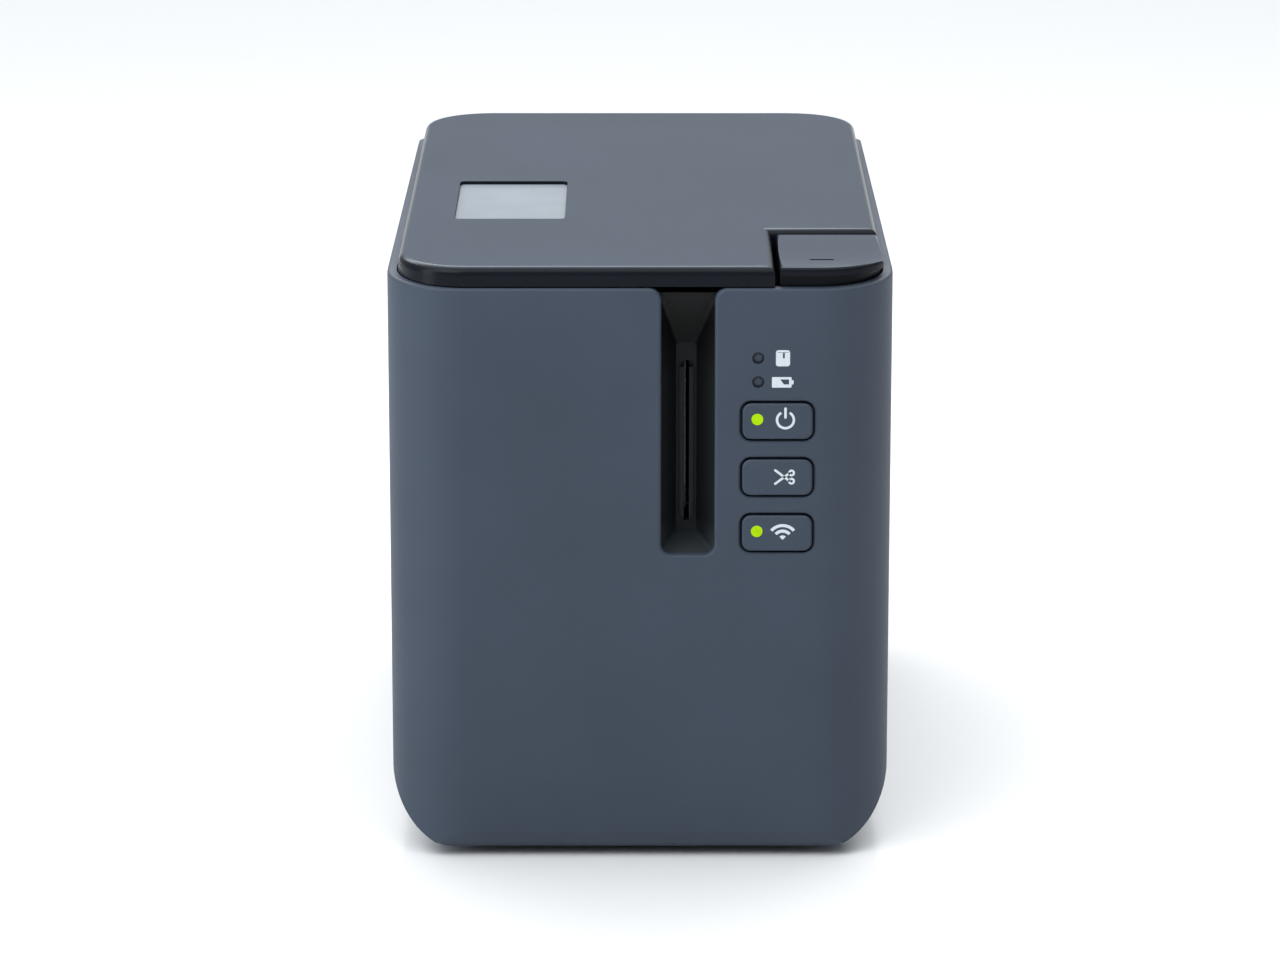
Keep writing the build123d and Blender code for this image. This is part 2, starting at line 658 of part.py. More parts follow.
# Bottom panel, with standing posts for the board
with BuildPart() as base_plate:
    under = Plane.XY.offset(FOOT_PROUD)
    low = (opening_low[0] + PANEL_GAP, opening_low[1] + PANEL_GAP)
    high = (opening_high[0] - PANEL_GAP, opening_high[1] - PANEL_GAP)
    extrude(rectangle_between(under, low, high, EDGE_SOFT), amount=WALL)
    board_posts = [
        (side * (BOARD_HALF_W - BOARD_POST_INSET), y)
        for side in (-1, 1)
        for y in (BOARD_REAR_Y - BOARD_LENGTH + BOARD_POST_INSET, BOARD_REAR_Y - 4 * BOARD_POST_INSET)
    ]
    extrude(disc_at(floor_top, board_posts, BOARD_POST_D), amount=BOARD_Z - FOOT_PROUD - WALL)
    board_stakes = disc_at(Plane.XY.offset(BOARD_Z), board_posts, STAKE_D)
    extrude(board_stakes, amount=BOARD_T + STAKE_PROUD)
    extrude(disc_at(under, FOOT_PLACES, FOOT_D + 2 * PANEL_GAP), amount=FOOT_SET, mode=Mode.SUBTRACT)
    extrude(disc_at(under, BASE_SCREWS, SCREW_HOLE_D), amount=WALL, mode=Mode.SUBTRACT)
    head_sink = disc_at(under, BASE_SCREWS, SCREW_HEAD_D + 2 * PANEL_GAP)
    extrude(head_sink, amount=SCREW_SINK, mode=Mode.SUBTRACT)

# Four rubber feet set into the bottom panel
with BuildPart() as rubber_feet:
    extrude(disc_at(Plane.XY, FOOT_PLACES, FOOT_D), amount=FOOT_PROUD + FOOT_SET)
    chamfer(rubber_feet.edges().group_by(Axis.Z)[0], FOOT_CHAMFER)

# Screws that hold the bottom panel
with BuildPart() as base_screws:
    for x, y in BASE_SCREWS:
        add(screw(Plane(origin=(x, y, FOOT_PROUD + SCREW_SINK), z_dir=(0, 0, -1))))


# Lid
def cover_plan(inset):
    """Lid outline from above, with the corner for the release button left out."""
    half = COVER_HALF_W - inset
    with BuildSketch(Plane.XY) as outline:
        with Locations((0, (COVER_FRONT_Y + COVER_REAR_Y) / 2)):
            Rectangle(2 * half, COVER_REAR_Y - COVER_FRONT_Y - 2 * inset)
        fillet(outline.vertices().group_by(Axis.Y)[0], COVER_FRONT_R - inset)
        fillet(outline.vertices().group_by(Axis.Y)[-1], COVER_REAR_R - inset)
        corner_x = RELEASE_X - inset
        corner_y = RELEASE_REAR_Y + inset
        with Locations(((corner_x + HALF_W) / 2, (FRONT_Y + corner_y) / 2)):
            Rectangle(HALF_W - corner_x, corner_y - FRONT_Y, mode=Mode.SUBTRACT)
    return outline.sketch


def cover_profile(drop, bottom):
    """Side profile of the lid under its sloping top, lowered by a drop."""
    skirt_y = FRONT_Y + SKIRT_FRONT_END
    return polygon_on(
        Plane.YZ.offset(-WIDTH),
        (COVER_FRONT_Y, LIP_Z + COVER_LIP_GAP - bottom), (SEAM_Y, RAIL_Z + COVER_LIP_GAP - bottom),
        (skirt_y, RAIL_Z + COVER_LIP_GAP - bottom), (skirt_y, RAIL_Z - COVER_SKIRT_DROP - bottom),
        (COVER_REAR_Y, RAIL_Z - COVER_SKIRT_DROP - bottom), (COVER_REAR_Y, HEIGHT - drop),
        (COVER_FRONT_Y, COVER_FRONT_Z - drop),
    )


with BuildPart() as cover_core:
    extrude(cover_plan(COVER_WALL), amount=HEIGHT)
    extrude(cover_profile(COVER_TOP_T, COVER_TOP_T), amount=2 * WIDTH, mode=Mode.INTERSECT)

cover_top = Plane(
    origin=(0, COVER_FRONT_Y, COVER_FRONT_Z), x_dir=(1, 0, 0), z_dir=(0, -COVER_SLOPE, 1)
)
window_s = FRONT_Y + WINDOW_FROM_FRONT - COVER_FRONT_Y


def window_outline(depth, inset):
    """Window outline on a plane under the lid's sloping top."""
    low = (WINDOW_X - WINDOW_W / 2 + inset, window_s - WINDOW_L / 2 + inset)
    high = (WINDOW_X + WINDOW_W / 2 - inset, window_s + WINDOW_L / 2 - inset)
    return rectangle_between(cover_top.offset(-depth), low, high, WINDOW_R)


with BuildPart() as cover_shell:
    extrude(cover_plan(0.0), amount=HEIGHT)
    extrude(cover_profile(0.0, 0.0), amount=2 * WIDTH, mode=Mode.INTERSECT)
    fillet(cover_shell.faces().sort_by(Axis.Z)[-1].edges(), COVER_EDGE_R)
    add(cover_core.part, mode=Mode.SUBTRACT)
    window_seat = COVER_TOP_T + WINDOW_SUNK + WINDOW_T
    extrude(window_outline(-COVER_TOP_T, 0.0), amount=-window_seat, mode=Mode.SUBTRACT)
    extrude(window_outline(0.0, WINDOW_LEDGE), amount=-2 * COVER_TOP_T, mode=Mode.SUBTRACT)
    rib_ends = (FRONT_Y + LID_RIB_END_GAP, REAR_Y - LID_RIB_END_GAP)
    rib_tops = [(y, cover_z(y) - COVER_TOP_T / 2) for y in rib_ends]
    rib_feet = [(y, cover_z(y) - COVER_TOP_T - LID_RIB_H) for y in reversed(rib_ends)]
    for x in LID_RIB_XS:
        extrude(polygon_on(Plane.YZ.offset(x - LID_RIB_T / 2), *rib_tops, *rib_feet), amount=LID_RIB_T)
    for from_front in LID_CROSS_FROM_FRONT:
        y = FRONT_Y + from_front
        cross_low = (-LID_CROSS_HALF, cover_z(y) - COVER_TOP_T - LID_RIB_H)
        cross_high = (LID_CROSS_HALF, cover_z(y) - COVER_TOP_T / 2)
        extrude(rectangle_between(front_plane(y), cross_low, cross_high), amount=-LID_RIB_T)
    lug_top_z = cover_z(HINGE_Y) - COVER_TOP_T / 2
    for side in (-1, 1):
        lug_x = side * HINGE_LUG_X
        with BuildSketch(Plane.YZ.offset(lug_x - HINGE_LUG_W / 2)) as lug:
            with Locations((HINGE_Y, HINGE_Z)):
                Circle(HINGE_KNUCKLE_R)
            with Locations((HINGE_Y, (HINGE_Z + lug_top_z) / 2)):
                Rectangle(2 * HINGE_KNUCKLE_R, lug_top_z - HINGE_Z)
            with Locations((HINGE_Y, HINGE_Z)):
                Circle(HINGE_PIN_D / 2 + HINGE_RUN_FIT, mode=Mode.SUBTRACT)
        extrude(amount=HINGE_LUG_W)
        post_in_x = HINGE_LUG_X - HINGE_LUG_W / 2 - HINGE_SIDE_GAP - HINGE_POST_W
        notch_x = sorted((side * (post_in_x - HINGE_NOTCH_GAP), side * (HINGE_LUG_X - HINGE_LUG_W / 2)))
        notch_low = (notch_x[0], HINGE_Z - HEIGHT / 2)
        notch_high = (notch_x[1], HINGE_Z + HINGE_KNUCKLE_R + HINGE_NOTCH_GAP)
        notch = rectangle_between(front_plane(COVER_REAR_Y), notch_low, notch_high)
        extrude(notch, amount=COVER_WALL + COVER_EDGE_R, mode=Mode.SUBTRACT)
    hook_low_z = DECK_Z + HOOK_RISE
    hook_top_z = cover_z(HOOK_Y) - COVER_TOP_T / 2
    hook = polygon_on(
        Plane.YZ.offset(LATCH_X - LATCH_W / 2),
        (HOOK_Y, hook_low_z), (HOOK_Y + HOOK_NOSE + HOOK_T, hook_low_z),
        (HOOK_Y + HOOK_NOSE + HOOK_T, hook_top_z), (HOOK_Y + HOOK_NOSE, hook_top_z),
        (HOOK_Y + HOOK_NOSE, hook_low_z + HOOK_NOSE_H), (HOOK_Y, hook_low_z + HOOK_NOSE_H),
    )
    extrude(hook, amount=LATCH_W)

# Clear window in the lid, seated on a ledge
with BuildPart() as cover_window:
    extrude(window_outline(WINDOW_SUNK, WINDOW_FIT), amount=-WINDOW_T)

# Hinge pins, held in the case's posts
with BuildPart() as cover_hinge_pins:
    pin_length = HINGE_POST_W + HINGE_SIDE_GAP + HINGE_LUG_W
    for side in (-1, 1):
        start_x = sorted((side * post_in_x, side * (post_in_x + pin_length)))[0]
        extrude(disc_at(Plane.YZ.offset(start_x), [(HINGE_Y, HINGE_Z)], HINGE_PIN_D), amount=pin_length)

# Release button: dished cap on a set-back skirt, with a guided stem and a wedge for the latch
release_left_x = RELEASE_X + RELEASE_GAP
release_rear_y = RELEASE_REAR_Y - RELEASE_GAP
release_under_z = COVER_FRONT_Z - RELEASE_TOP_T
ramp_rear_y = release_rear_y - RAMP_FROM_REAR + RAMP_LENGTH
ramp_top_z = DECK_Z + BODY_GAP + LATCH_RISE
stem_y = FRONT_Y + RELEASE_STEM_FROM_FRONT


def release_outline(z, inset):
    """Corner of the top that the button takes, drawn in from the case's wall."""
    low = (release_left_x, FRONT_Y)
    high = (COVER_HALF_W, release_rear_y)
    return case_plan(inset, z) & rectangle_between(Plane.XY.offset(z), low, high)


with BuildPart() as release_button:
    cap = release_outline(release_under_z, COVER_SET_BACK)
    extrude(cap, amount=RELEASE_TOP_T)
    fillet(release_button.faces().sort_by(Axis.Z)[-1].edges(), COVER_EDGE_R / 2)
    dish_half = (release_rear_y - COVER_FRONT_Y) / 2 - COVER_EDGE_R
    dish_r = (dish_half ** 2 + RELEASE_DISH ** 2) / (2 * RELEASE_DISH)
    dish_y = (release_rear_y + COVER_FRONT_Y) / 2
    dish_z = COVER_FRONT_Z - RELEASE_DISH + dish_r
    dish = disc_at(Plane.YZ.offset(release_left_x), [(dish_y, dish_z)], 2 * dish_r)
    extrude(dish, amount=COVER_HALF_W - release_left_x, mode=Mode.SUBTRACT)
    with BuildSketch(Plane.XY.offset(COVER_FRONT_Z)):
        with Locations((release_left_x + GROOVE_FROM_SIDE, FRONT_Y + GROOVE_FROM_FRONT)):
            SlotOverall(GROOVE_L, GROOVE_W)
    extrude(amount=-(RELEASE_DISH + GROOVE_DEPTH), mode=Mode.SUBTRACT)
    skirt_inset = WALL + RELEASE_SKIRT_GAP
    skirt_outer = release_outline(release_under_z, skirt_inset)
    hollow_low = (release_left_x + RELEASE_SKIRT_T, FRONT_Y)
    hollow_high = (COVER_HALF_W - RELEASE_SKIRT_T, release_rear_y - RELEASE_SKIRT_T)
    hollow = rectangle_between(Plane.XY.offset(release_under_z), hollow_low, hollow_high)
    skirt_hollow = case_plan(skirt_inset + RELEASE_SKIRT_T, release_under_z) & hollow
    extrude(skirt_outer - skirt_hollow, amount=-RELEASE_SKIRT_DROP)
    gate_half = LATCH_W / 2 + LATCH_RIB_T + 2 * LATCH_SIDE_GAP
    gate = rectangle_between(
        front_plane(release_rear_y),
        (LATCH_X - gate_half, release_under_z - RELEASE_SKIRT_DROP), (LATCH_X + gate_half, release_under_z),
    )
    extrude(gate, amount=RELEASE_SKIRT_T, mode=Mode.SUBTRACT)
    stem = disc_at(Plane.XY.offset(release_under_z), [(RELEASE_STEM_X, stem_y)], RELEASE_STEM_D)
    extrude(stem, amount=-RELEASE_STEM_LENGTH)
    wedge_y = ramp_rear_y - RAMP_LENGTH
    wedge = polygon_on(
        Plane.YZ.offset(LATCH_X - LATCH_W / 3),
        (wedge_y, release_under_z), (wedge_y, ramp_top_z + 2 * RAMP_GAP),
        (wedge_y + WEDGE_LENGTH, ramp_top_z + 2 * RAMP_GAP - WEDGE_LENGTH),
        (wedge_y + WEDGE_LENGTH, release_under_z),
    )
    extrude(wedge, amount=2 * LATCH_W / 3)

# Latch slider: its ramp is pushed forward by the button's wedge
with BuildPart() as latch_slider:
    slide_z = DECK_Z + BODY_GAP
    plate_z = slide_z + LATCH_T
    nose_y = HOOK_Y - LATCH_CLEAR
    nose_z = hook_low_z + HOOK_NOSE_H + LATCH_CLEAR
    block_front_y = wedge_y - LATCH_T
    front_end_y = FRONT_Y + LATCH_FRONT_GAP
    slider = polygon_on(
        Plane.YZ.offset(LATCH_X - LATCH_W / 2),
        (front_end_y, slide_z), (nose_y - HOOK_NOSE / 2, slide_z), (nose_y - HOOK_NOSE / 2, nose_z),
        (nose_y, nose_z), (nose_y, nose_z + LATCH_NOSE_T), (nose_y - HOOK_T, nose_z + LATCH_NOSE_T),
        (nose_y - HOOK_T, plate_z), (ramp_rear_y, plate_z), (ramp_rear_y, ramp_top_z - RAMP_LENGTH),
        (wedge_y, ramp_top_z), (block_front_y, ramp_top_z), (block_front_y, plate_z),
        (front_end_y, plate_z),
    )
    extrude(slider, amount=LATCH_W)

# Deck with the cassette bay moulded into it
deck_under = Plane.XY.offset(DECK_Z - DECK_T)
deck_rear_y = HINGE_Y - DECK_REAR_GAP
BAY_UNDER_Z = BAY_FLOOR_Z - FLOOR_T
GEAR_Z = BAY_FLOOR_Z + GEAR_ABOVE_FLOOR
HOLDER_Z = GEAR_Z + GEAR_T + HOLDER_GAP
TAPE_LOW_Z = BAY_FLOOR_Z + TAPE_ABOVE_FLOOR
TAPE_HIGH_Z = TAPE_LOW_Z + TAPE_W


def mesh_distance(teeth_a, teeth_b, module):
    return (teeth_a + teeth_b) * module / 2


def polar_step(start, distance, angle):
    """Point at a distance and an angle in degrees from a start."""
    return (start[0] + distance * cos(radians(angle)), start[1] + distance * sin(radians(angle)))


FEED_R = PLATEN_R * FEED_TEETH / PLATEN_TEETH
PLATEN = (TAPE_X + ROLLER_GAP + PLATEN_R, FRONT_Y + PLATEN_FROM_FRONT)
FEED = (TAPE_X + ROLLER_GAP + FEED_R, FRONT_Y + FEED_FROM_FRONT)
PIVOT = (PIVOT_X, FRONT_Y + PIVOT_FROM_FRONT)
# The idler lies square to the holder's arm, so that the platen leaves it straight when the holder swings
arm_angle = degrees(atan2(PLATEN[1] - PIVOT[1], PLATEN[0] - PIVOT[0]))
IDLER = polar_step(PLATEN, mesh_distance(PLATEN_TEETH, IDLER_TEETH, GEAR_MODULE), arm_angle - 90)
PINION = polar_step(IDLER, mesh_distance(IDLER_TEETH, PINION_TEETH, GEAR_MODULE), PINION_ANGLE)
RIBBON = polar_step(IDLER, mesh_distance(IDLER_TEETH, RIBBON_TEETH, GEAR_MODULE), RIBBON_ANGLE)


def third_centre(a, to_a, b, to_b):
    """Centre at given distances from two others, on the right of the way from the first to the second."""
    span = hypot(b[0] - a[0], b[1] - a[1])
    along = (to_a ** 2 - to_b ** 2 + span ** 2) / (2 * span)
    aside = sqrt(to_a ** 2 - along ** 2)
    way = ((b[0] - a[0]) / span, (b[1] - a[1]) / span)
    return (a[0] + along * way[0] - aside * way[1], a[1] + along * way[1] + aside * way[0])


HOLDER_GEAR = third_centre(
    PLATEN, mesh_distance(PLATEN_TEETH, HOLDER_TEETH, GEAR_MODULE),
    FEED, mesh_distance(FEED_TEETH, HOLDER_TEETH, GEAR_MODULE),
)
BAY_RIGHT = HOLDER_GEAR[0] + (HOLDER_TEETH / 2 + ADDENDUM) * GEAR_MODULE + BAY_GEAR_ROOM
FRAME_Y = FRONT_Y + FRAME_FROM_FRONT
BAY_FRONT_FACE_Y = BAY_FRONT_Y - BAY_WALL
FRAME_SCREWS = (
    (FRAME_SCREW_LEFT, TAPE_LOW_Z + FRAME_MARGIN),
    (FRAME_SCREW_LEFT, TAPE_HIGH_Z),
    (FRAME_SCREW_RIGHT, TAPE_HIGH_Z),
)
CASSETTE_Z = BAY_FLOOR_Z + CASSETTE_ABOVE_FLOOR
cassette_front_y = FRONT_Y + CASSETTE_FRONT_GAP
cassette_rear_y = FRONT_Y + CASSETTE_REAR_GAP
TAPE_ROLL = (TAPE_ROLL_AT[0], FRONT_Y + TAPE_ROLL_AT[1])
SUPPLY = (SUPPLY_AT[0], FRONT_Y + SUPPLY_AT[1])
CASSETTE_SEATS = (
    (CASSETTE_LEFT + SEAT_INSET, cassette_front_y + SEAT_INSET),
    (TAPE_ROLL[0], cassette_front_y + SEAT_INSET),
    (CASSETTE_LEFT + SEAT_INSET, cassette_rear_y - SEAT_INSET),
    (CASSETTE_RIGHT - SEAT_INSET, cassette_rear_y - SEAT_INSET),
)
chute_left_x = SLOT_X - SLOT_W / 2 - CHUTE_WALL
chute_right_x = SLOT_X + SLOT_W / 2 + CHUTE_WALL
chute_rear_y = FRONT_Y + WALL + CHUTE_DEPTH
chute_top_z = LIP_Z - CHUTE_TOP_GAP

with BuildPart() as main_chassis:
    deck_reach = rectangle_between(deck_under, (-WIDTH, FRONT_Y), (WIDTH, deck_rear_y))
    extrude(case_plan(DECK_INSET, DECK_Z - DECK_T) & deck_reach, amount=DECK_T)
    bay_plane = Plane.XY.offset(BAY_UNDER_Z)
    bay_low = (BAY_LEFT, BAY_FRONT_Y)
    bay_high = (BAY_RIGHT, BAY_REAR_Y)
    outer_low = (BAY_LEFT - BAY_WALL, BAY_FRONT_FACE_Y)
    outer_high = (BAY_RIGHT + BAY_WALL, BAY_REAR_Y + BAY_WALL)
    bay_outside = rectangle_between(bay_plane, outer_low, outer_high, BAY_CORNER_R + BAY_WALL)
    extrude(bay_outside, amount=DECK_Z - BAY_UNDER_Z)
    bay_floor = Plane.XY.offset(BAY_FLOOR_Z)
    bay_inside = rectangle_between(bay_floor, bay_low, bay_high, BAY_CORNER_R)
    extrude(bay_inside, amount=HEIGHT, mode=Mode.SUBTRACT)
    tape_low = (TAPE_X - TAPE_WINDOW_HALF, TAPE_LOW_Z - TAPE_WINDOW_MARGIN)
    tape_high = (TAPE_X + TAPE_WINDOW_HALF, TAPE_HIGH_Z + TAPE_WINDOW_MARGIN)
    tape_window = rectangle_between(front_plane(BAY_FRONT_FACE_Y), tape_low, tape_high)
    extrude(tape_window, amount=-BAY_WALL, mode=Mode.SUBTRACT)
    bay_face = front_plane(BAY_FRONT_FACE_Y)
    frame_boss_l = BAY_FRONT_FACE_Y - FRAME_Y - FRAME_T
    extrude(disc_at(bay_face, FRAME_SCREWS, FRAME_BOSS_D), amount=frame_boss_l)
    frame_holes = disc_at(bay_face, FRAME_SCREWS, SCREW_HOLE_D)
    extrude(frame_holes, amount=frame_boss_l, mode=Mode.SUBTRACT)
    extrude(frame_holes, amount=-BAY_WALL, mode=Mode.SUBTRACT)
    chute_cut_low = (chute_left_x - CHUTE_CUT_GAP, FRONT_Y)
    chute_cut_high = (chute_right_x + CHUTE_CUT_GAP, chute_rear_y + CHUTE_CUT_GAP)
    chute_cut = rectangle_between(deck_under, chute_cut_low, chute_cut_high)
    extrude(chute_cut, amount=DECK_T, mode=Mode.SUBTRACT)
    sleeve = [(RELEASE_STEM_X, stem_y)]
    extrude(disc_at(deck_under, sleeve, RELEASE_STEM_D + 2 * BAY_WALL), amount=-2 * DECK_T)
    stem_hole = disc_at(Plane.XY.offset(DECK_Z), sleeve, RELEASE_STEM_D + 2 * STEM_FIT)
    extrude(stem_hole, amount=-4 * DECK_T, mode=Mode.SUBTRACT)
    for side in (-1, 1):
        rib_in = LATCH_X + side * (LATCH_W / 2 + LATCH_SIDE_GAP)
        rib_x = sorted((rib_in, rib_in + side * LATCH_RIB_T))
        rib_low = (rib_x[0], front_end_y)
        rib = rectangle_between(Plane.XY.offset(DECK_Z), rib_low, (rib_x[1], front_end_y + LATCH_RIB_L))
        extrude(rib, amount=LATCH_T)
    extrude(disc_at(deck_under, DECK_SCREWS, SCREW_HOLE_D), amount=DECK_T, mode=Mode.SUBTRACT)
    extrude(disc_at(bay_floor, [IDLER], GEAR_POST_D), amount=GEAR_ABOVE_FLOOR + GEAR_T)
    extrude(disc_at(bay_floor, [RIBBON], SHAFT_D), amount=GEAR_ABOVE_FLOOR + 2 * GEAR_T)
    extrude(disc_at(bay_floor, CASSETTE_SEATS, SEAT_D), amount=CASSETTE_ABOVE_FLOOR)
    nose_hole = disc_at(bay_floor, [PINION], MOTOR_NOSE_D + 2 * PANEL_GAP)
    extrude(nose_hole, amount=-FLOOR_T, mode=Mode.SUBTRACT)
    extrude(disc_at(bay_floor, [PIVOT], SEAT_D), amount=HOLDER_Z - BODY_GAP - BAY_FLOOR_Z)
    pin_hole = disc_at(Plane.XY.offset(HOLDER_Z), [PIVOT], SHAFT_D + 2 * HINGE_PRESS_FIT)
    extrude(pin_hole, amount=BAY_UNDER_Z - HOLDER_Z, mode=Mode.SUBTRACT)

# Black funnel behind the front slot, with a slit that the tape comes out of
with BuildPart() as exit_chute:
    mouth_y = FRONT_Y + WALL
    low = (chute_left_x, SLOT_BOTTOM_Z - CHUTE_WALL)
    high = (chute_right_x, chute_top_z)
    extrude(rectangle_between(front_plane(mouth_y), low, high, CHUTE_WALL / 2), amount=-CHUTE_DEPTH)
    mouth_low = (SLOT_X - SLOT_W / 2, SLOT_BOTTOM_Z)
    mouth_high = (SLOT_X + SLOT_W / 2, chute_top_z - CHUTE_WALL)
    back_low = (TAPE_X - CHUTE_LEFT_BACK, SLOT_BOTTOM_Z + CHUTE_FLOOR_RISE)
    back_high = (TAPE_X + CHUTE_RIGHT_BACK, chute_top_z - CHUTE_WALL - CHUTE_TOP_FALL)
    funnel_back_y = mouth_y + CHUTE_DEPTH - CHUTE_BACK_T
    mouth = rectangle_between(front_plane(mouth_y), mouth_low, mouth_high, CHUTE_WALL / 2)
    back = rectangle_between(front_plane(funnel_back_y), back_low, back_high, CHUTE_WALL / 2)
    loft([mouth.face(), back.face()], mode=Mode.SUBTRACT)
    slit_low = (TAPE_X + CHUTE_SLIT_SHIFT - CHUTE_SLIT_W / 2, TAPE_LOW_Z - CHUTE_SLIT_W)
    slit_high = (TAPE_X + CHUTE_SLIT_SHIFT + CHUTE_SLIT_W / 2, TAPE_HIGH_Z + CHUTE_SLIT_W)
    slit = rectangle_between(front_plane(funnel_back_y), slit_low, slit_high)
    for rib_x in (slit_low[0] - CHUTE_RIB_W, slit_high[0]):
        rib_low = (rib_x, TAPE_LOW_Z)
        rib_high = (rib_x + CHUTE_RIB_W, TAPE_HIGH_Z)
        rib_face = rectangle_between(front_plane(funnel_back_y - CHUTE_RIB_PROUD), rib_low, rib_high)
        extrude(rib_face, amount=-CHUTE_RIB_PROUD)
    extrude(slit, amount=-2 * CHUTE_BACK_T, mode=Mode.SUBTRACT)
    ear_plane = front_plane(CHUTE_EAR_Y)
    for x, z in CHUTE_STAKES:
        ear_low = (x - PANEL_BOSS_D / 2, z - PANEL_BOSS_D / 2)
        ear_high = (chute_left_x + CHUTE_WALL / 2, z + PANEL_BOSS_D / 2)
        extrude(rectangle_between(ear_plane, ear_low, ear_high), amount=-CHUTE_EAR_T)
    extrude(disc_at(ear_plane, CHUTE_STAKES, STAKE_HOLE_D), amount=-CHUTE_EAR_T, mode=Mode.SUBTRACT)

# Front buttons, their lenses and the switches behind them
button_face_y = FRONT_Y - BUTTON_PROUD
flange_y = FRONT_Y + WALL + FLANGE_GAP
switch_face_y = PANEL_PCB_Y - SWITCH_H
plunger_tip_y = switch_face_y - PLUNGER_PROUD


def front_button(z, has_lens):
    """Push button with a flange behind the wall and a stub that meets its switch."""
    half = (BUTTON_W / 2, BUTTON_H / 2)
    with BuildPart() as button:
        low = (BUTTON_X - half[0], z - half[1])
        high = (BUTTON_X + half[0], z + half[1])
        cap_outline = rectangle_between(front_plane(button_face_y), low, high, BUTTON_R)
        extrude(cap_outline, amount=button_face_y - flange_y)
        chamfer(button.faces().sort_by(Axis.Y)[0].edges(), BUTTON_PROUD)
        flange_low = (low[0] - FLANGE_MARGIN, low[1] - FLANGE_MARGIN)
        flange_high = (high[0] + FLANGE_MARGIN, high[1] + FLANGE_MARGIN)
        flange = rectangle_between(front_plane(flange_y), flange_low, flange_high, BUTTON_R)
        extrude(flange, amount=-FLANGE_T)
        stub_y = flange_y + FLANGE_T
        extrude(disc_at(front_plane(stub_y), [(BUTTON_X, z)], STUB_D), amount=stub_y - plunger_tip_y)
        if has_lens:
            lens_at = [(BUTTON_X + LENS_OFFSET_X, z + LENS_RISE)]
            lens_hole = disc_at(front_plane(button_face_y), lens_at, LENS_D + 2 * LENS_FIT)
            extrude(lens_hole, amount=button_face_y - stub_y, mode=Mode.SUBTRACT)
    return button


def button_lens(z):
    with BuildPart() as lens:
        lens_at = [(BUTTON_X + LENS_OFFSET_X, z + LENS_RISE)]
        pipe = disc_at(front_plane(button_face_y), lens_at, LENS_D)
        extrude(pipe, amount=button_face_y - flange_y - FLANGE_T)
    return lens


def switch_plunger(z):
    with BuildPart() as plunger:
        extrude(disc_at(front_plane(plunger_tip_y), [(BUTTON_X, z)], PLUNGER_D), amount=-PLUNGER_L)
    return plunger


power_button = front_button(BUTTON_ZS[0], True)
feed_cut_button = front_button(BUTTON_ZS[1], False)
wireless_button = front_button(BUTTON_ZS[2], True)
power_led_lens = button_lens(BUTTON_ZS[0])
wireless_led_lens = button_lens(BUTTON_ZS[2])
power_switch_plunger = switch_plunger(BUTTON_ZS[0])
feed_cut_switch_plunger = switch_plunger(BUTTON_ZS[1])
wireless_switch_plunger = switch_plunger(BUTTON_ZS[2])

with BuildPart() as status_lenses:
    lens_front_y = FRONT_Y + STATUS_SUNK
    status_pipe = disc_at(front_plane(lens_front_y), STATUS_PLACES, STATUS_D - 2 * LENS_FIT)
    extrude(status_pipe, amount=lens_front_y - PANEL_PCB_Y)

with BuildPart() as panel_pcb:
    low = (PANEL_PCB_X[0], LIP_Z - PANEL_PCB_DROPS[1])
    high = (PANEL_PCB_X[1], LIP_Z - PANEL_PCB_DROPS[0])
    extrude(rectangle_between(front_plane(PANEL_PCB_Y), low, high, PANEL_PCB_T), amount=-PANEL_PCB_T)
    stake_holes = disc_at(front_plane(PANEL_PCB_Y), PANEL_BOSSES, STAKE_HOLE_D)
    extrude(stake_holes, amount=-PANEL_PCB_T, mode=Mode.SUBTRACT)

with BuildPart() as panel_switches:
    for z in BUTTON_ZS:
        low = (BUTTON_X - SWITCH_W / 2, z - SWITCH_W / 2)
        high = (BUTTON_X + SWITCH_W / 2, z + SWITCH_W / 2)
        extrude(rectangle_between(front_plane(PANEL_PCB_Y), low, high, EDGE_SOFT), amount=SWITCH_H)
    well_places = [(BUTTON_X, z) for z in BUTTON_ZS]
    wells = disc_at(front_plane(switch_face_y), well_places, PLUNGER_D + 2 * PLUNGER_GAP)
    extrude(wells, amount=-PLUNGER_WELL, mode=Mode.SUBTRACT)


# Gears


def tooth_points(teeth, module, angle):
    """Four corners of one tooth about its centre line, at an angle in degrees."""
    pitch_r = teeth * module / 2
    tip_r = pitch_r + ADDENDUM * module
    root_r = pitch_r - DEDENDUM * module
    half = pi * module / 4 - GEAR_THIN / 2
    slope = tan(radians(PRESSURE_ANGLE))
    tip_half = half - ADDENDUM * module * slope
    root_half = half + DEDENDUM * module * slope
    corners = []
    flank = ((root_r, -root_half), (tip_r, -tip_half), (tip_r, tip_half), (root_r, root_half))
    for radius, across in flank:
        corners.append(polar_step((0, 0), radius, angle + degrees(across / radius)))
    return corners


def gear_outline(plane, teeth, module, phase, bore):
    """Spur gear sketch about the plane's origin, with a tooth at the phase angle."""
    points = []
    for tooth in range(teeth):
        points.extend(tooth_points(teeth, module, phase + 360 * tooth / teeth))
    with BuildSketch(plane) as outline:
        with BuildLine():
            Polyline(*points, close=True)
        make_face()
        Circle(bore / 2, mode=Mode.SUBTRACT)
    return outline.sketch


def mesh_phase(phase, teeth, centre, other_centre, other_teeth):
    """Phase that puts a gap of the other gear where this gear's tooth meets it."""
    way = degrees(atan2(other_centre[1] - centre[1], other_centre[0] - centre[0]))
    into_pitch = (way - phase) * teeth / 360
    return way + 180 + (into_pitch + 0.5) * 360 / other_teeth


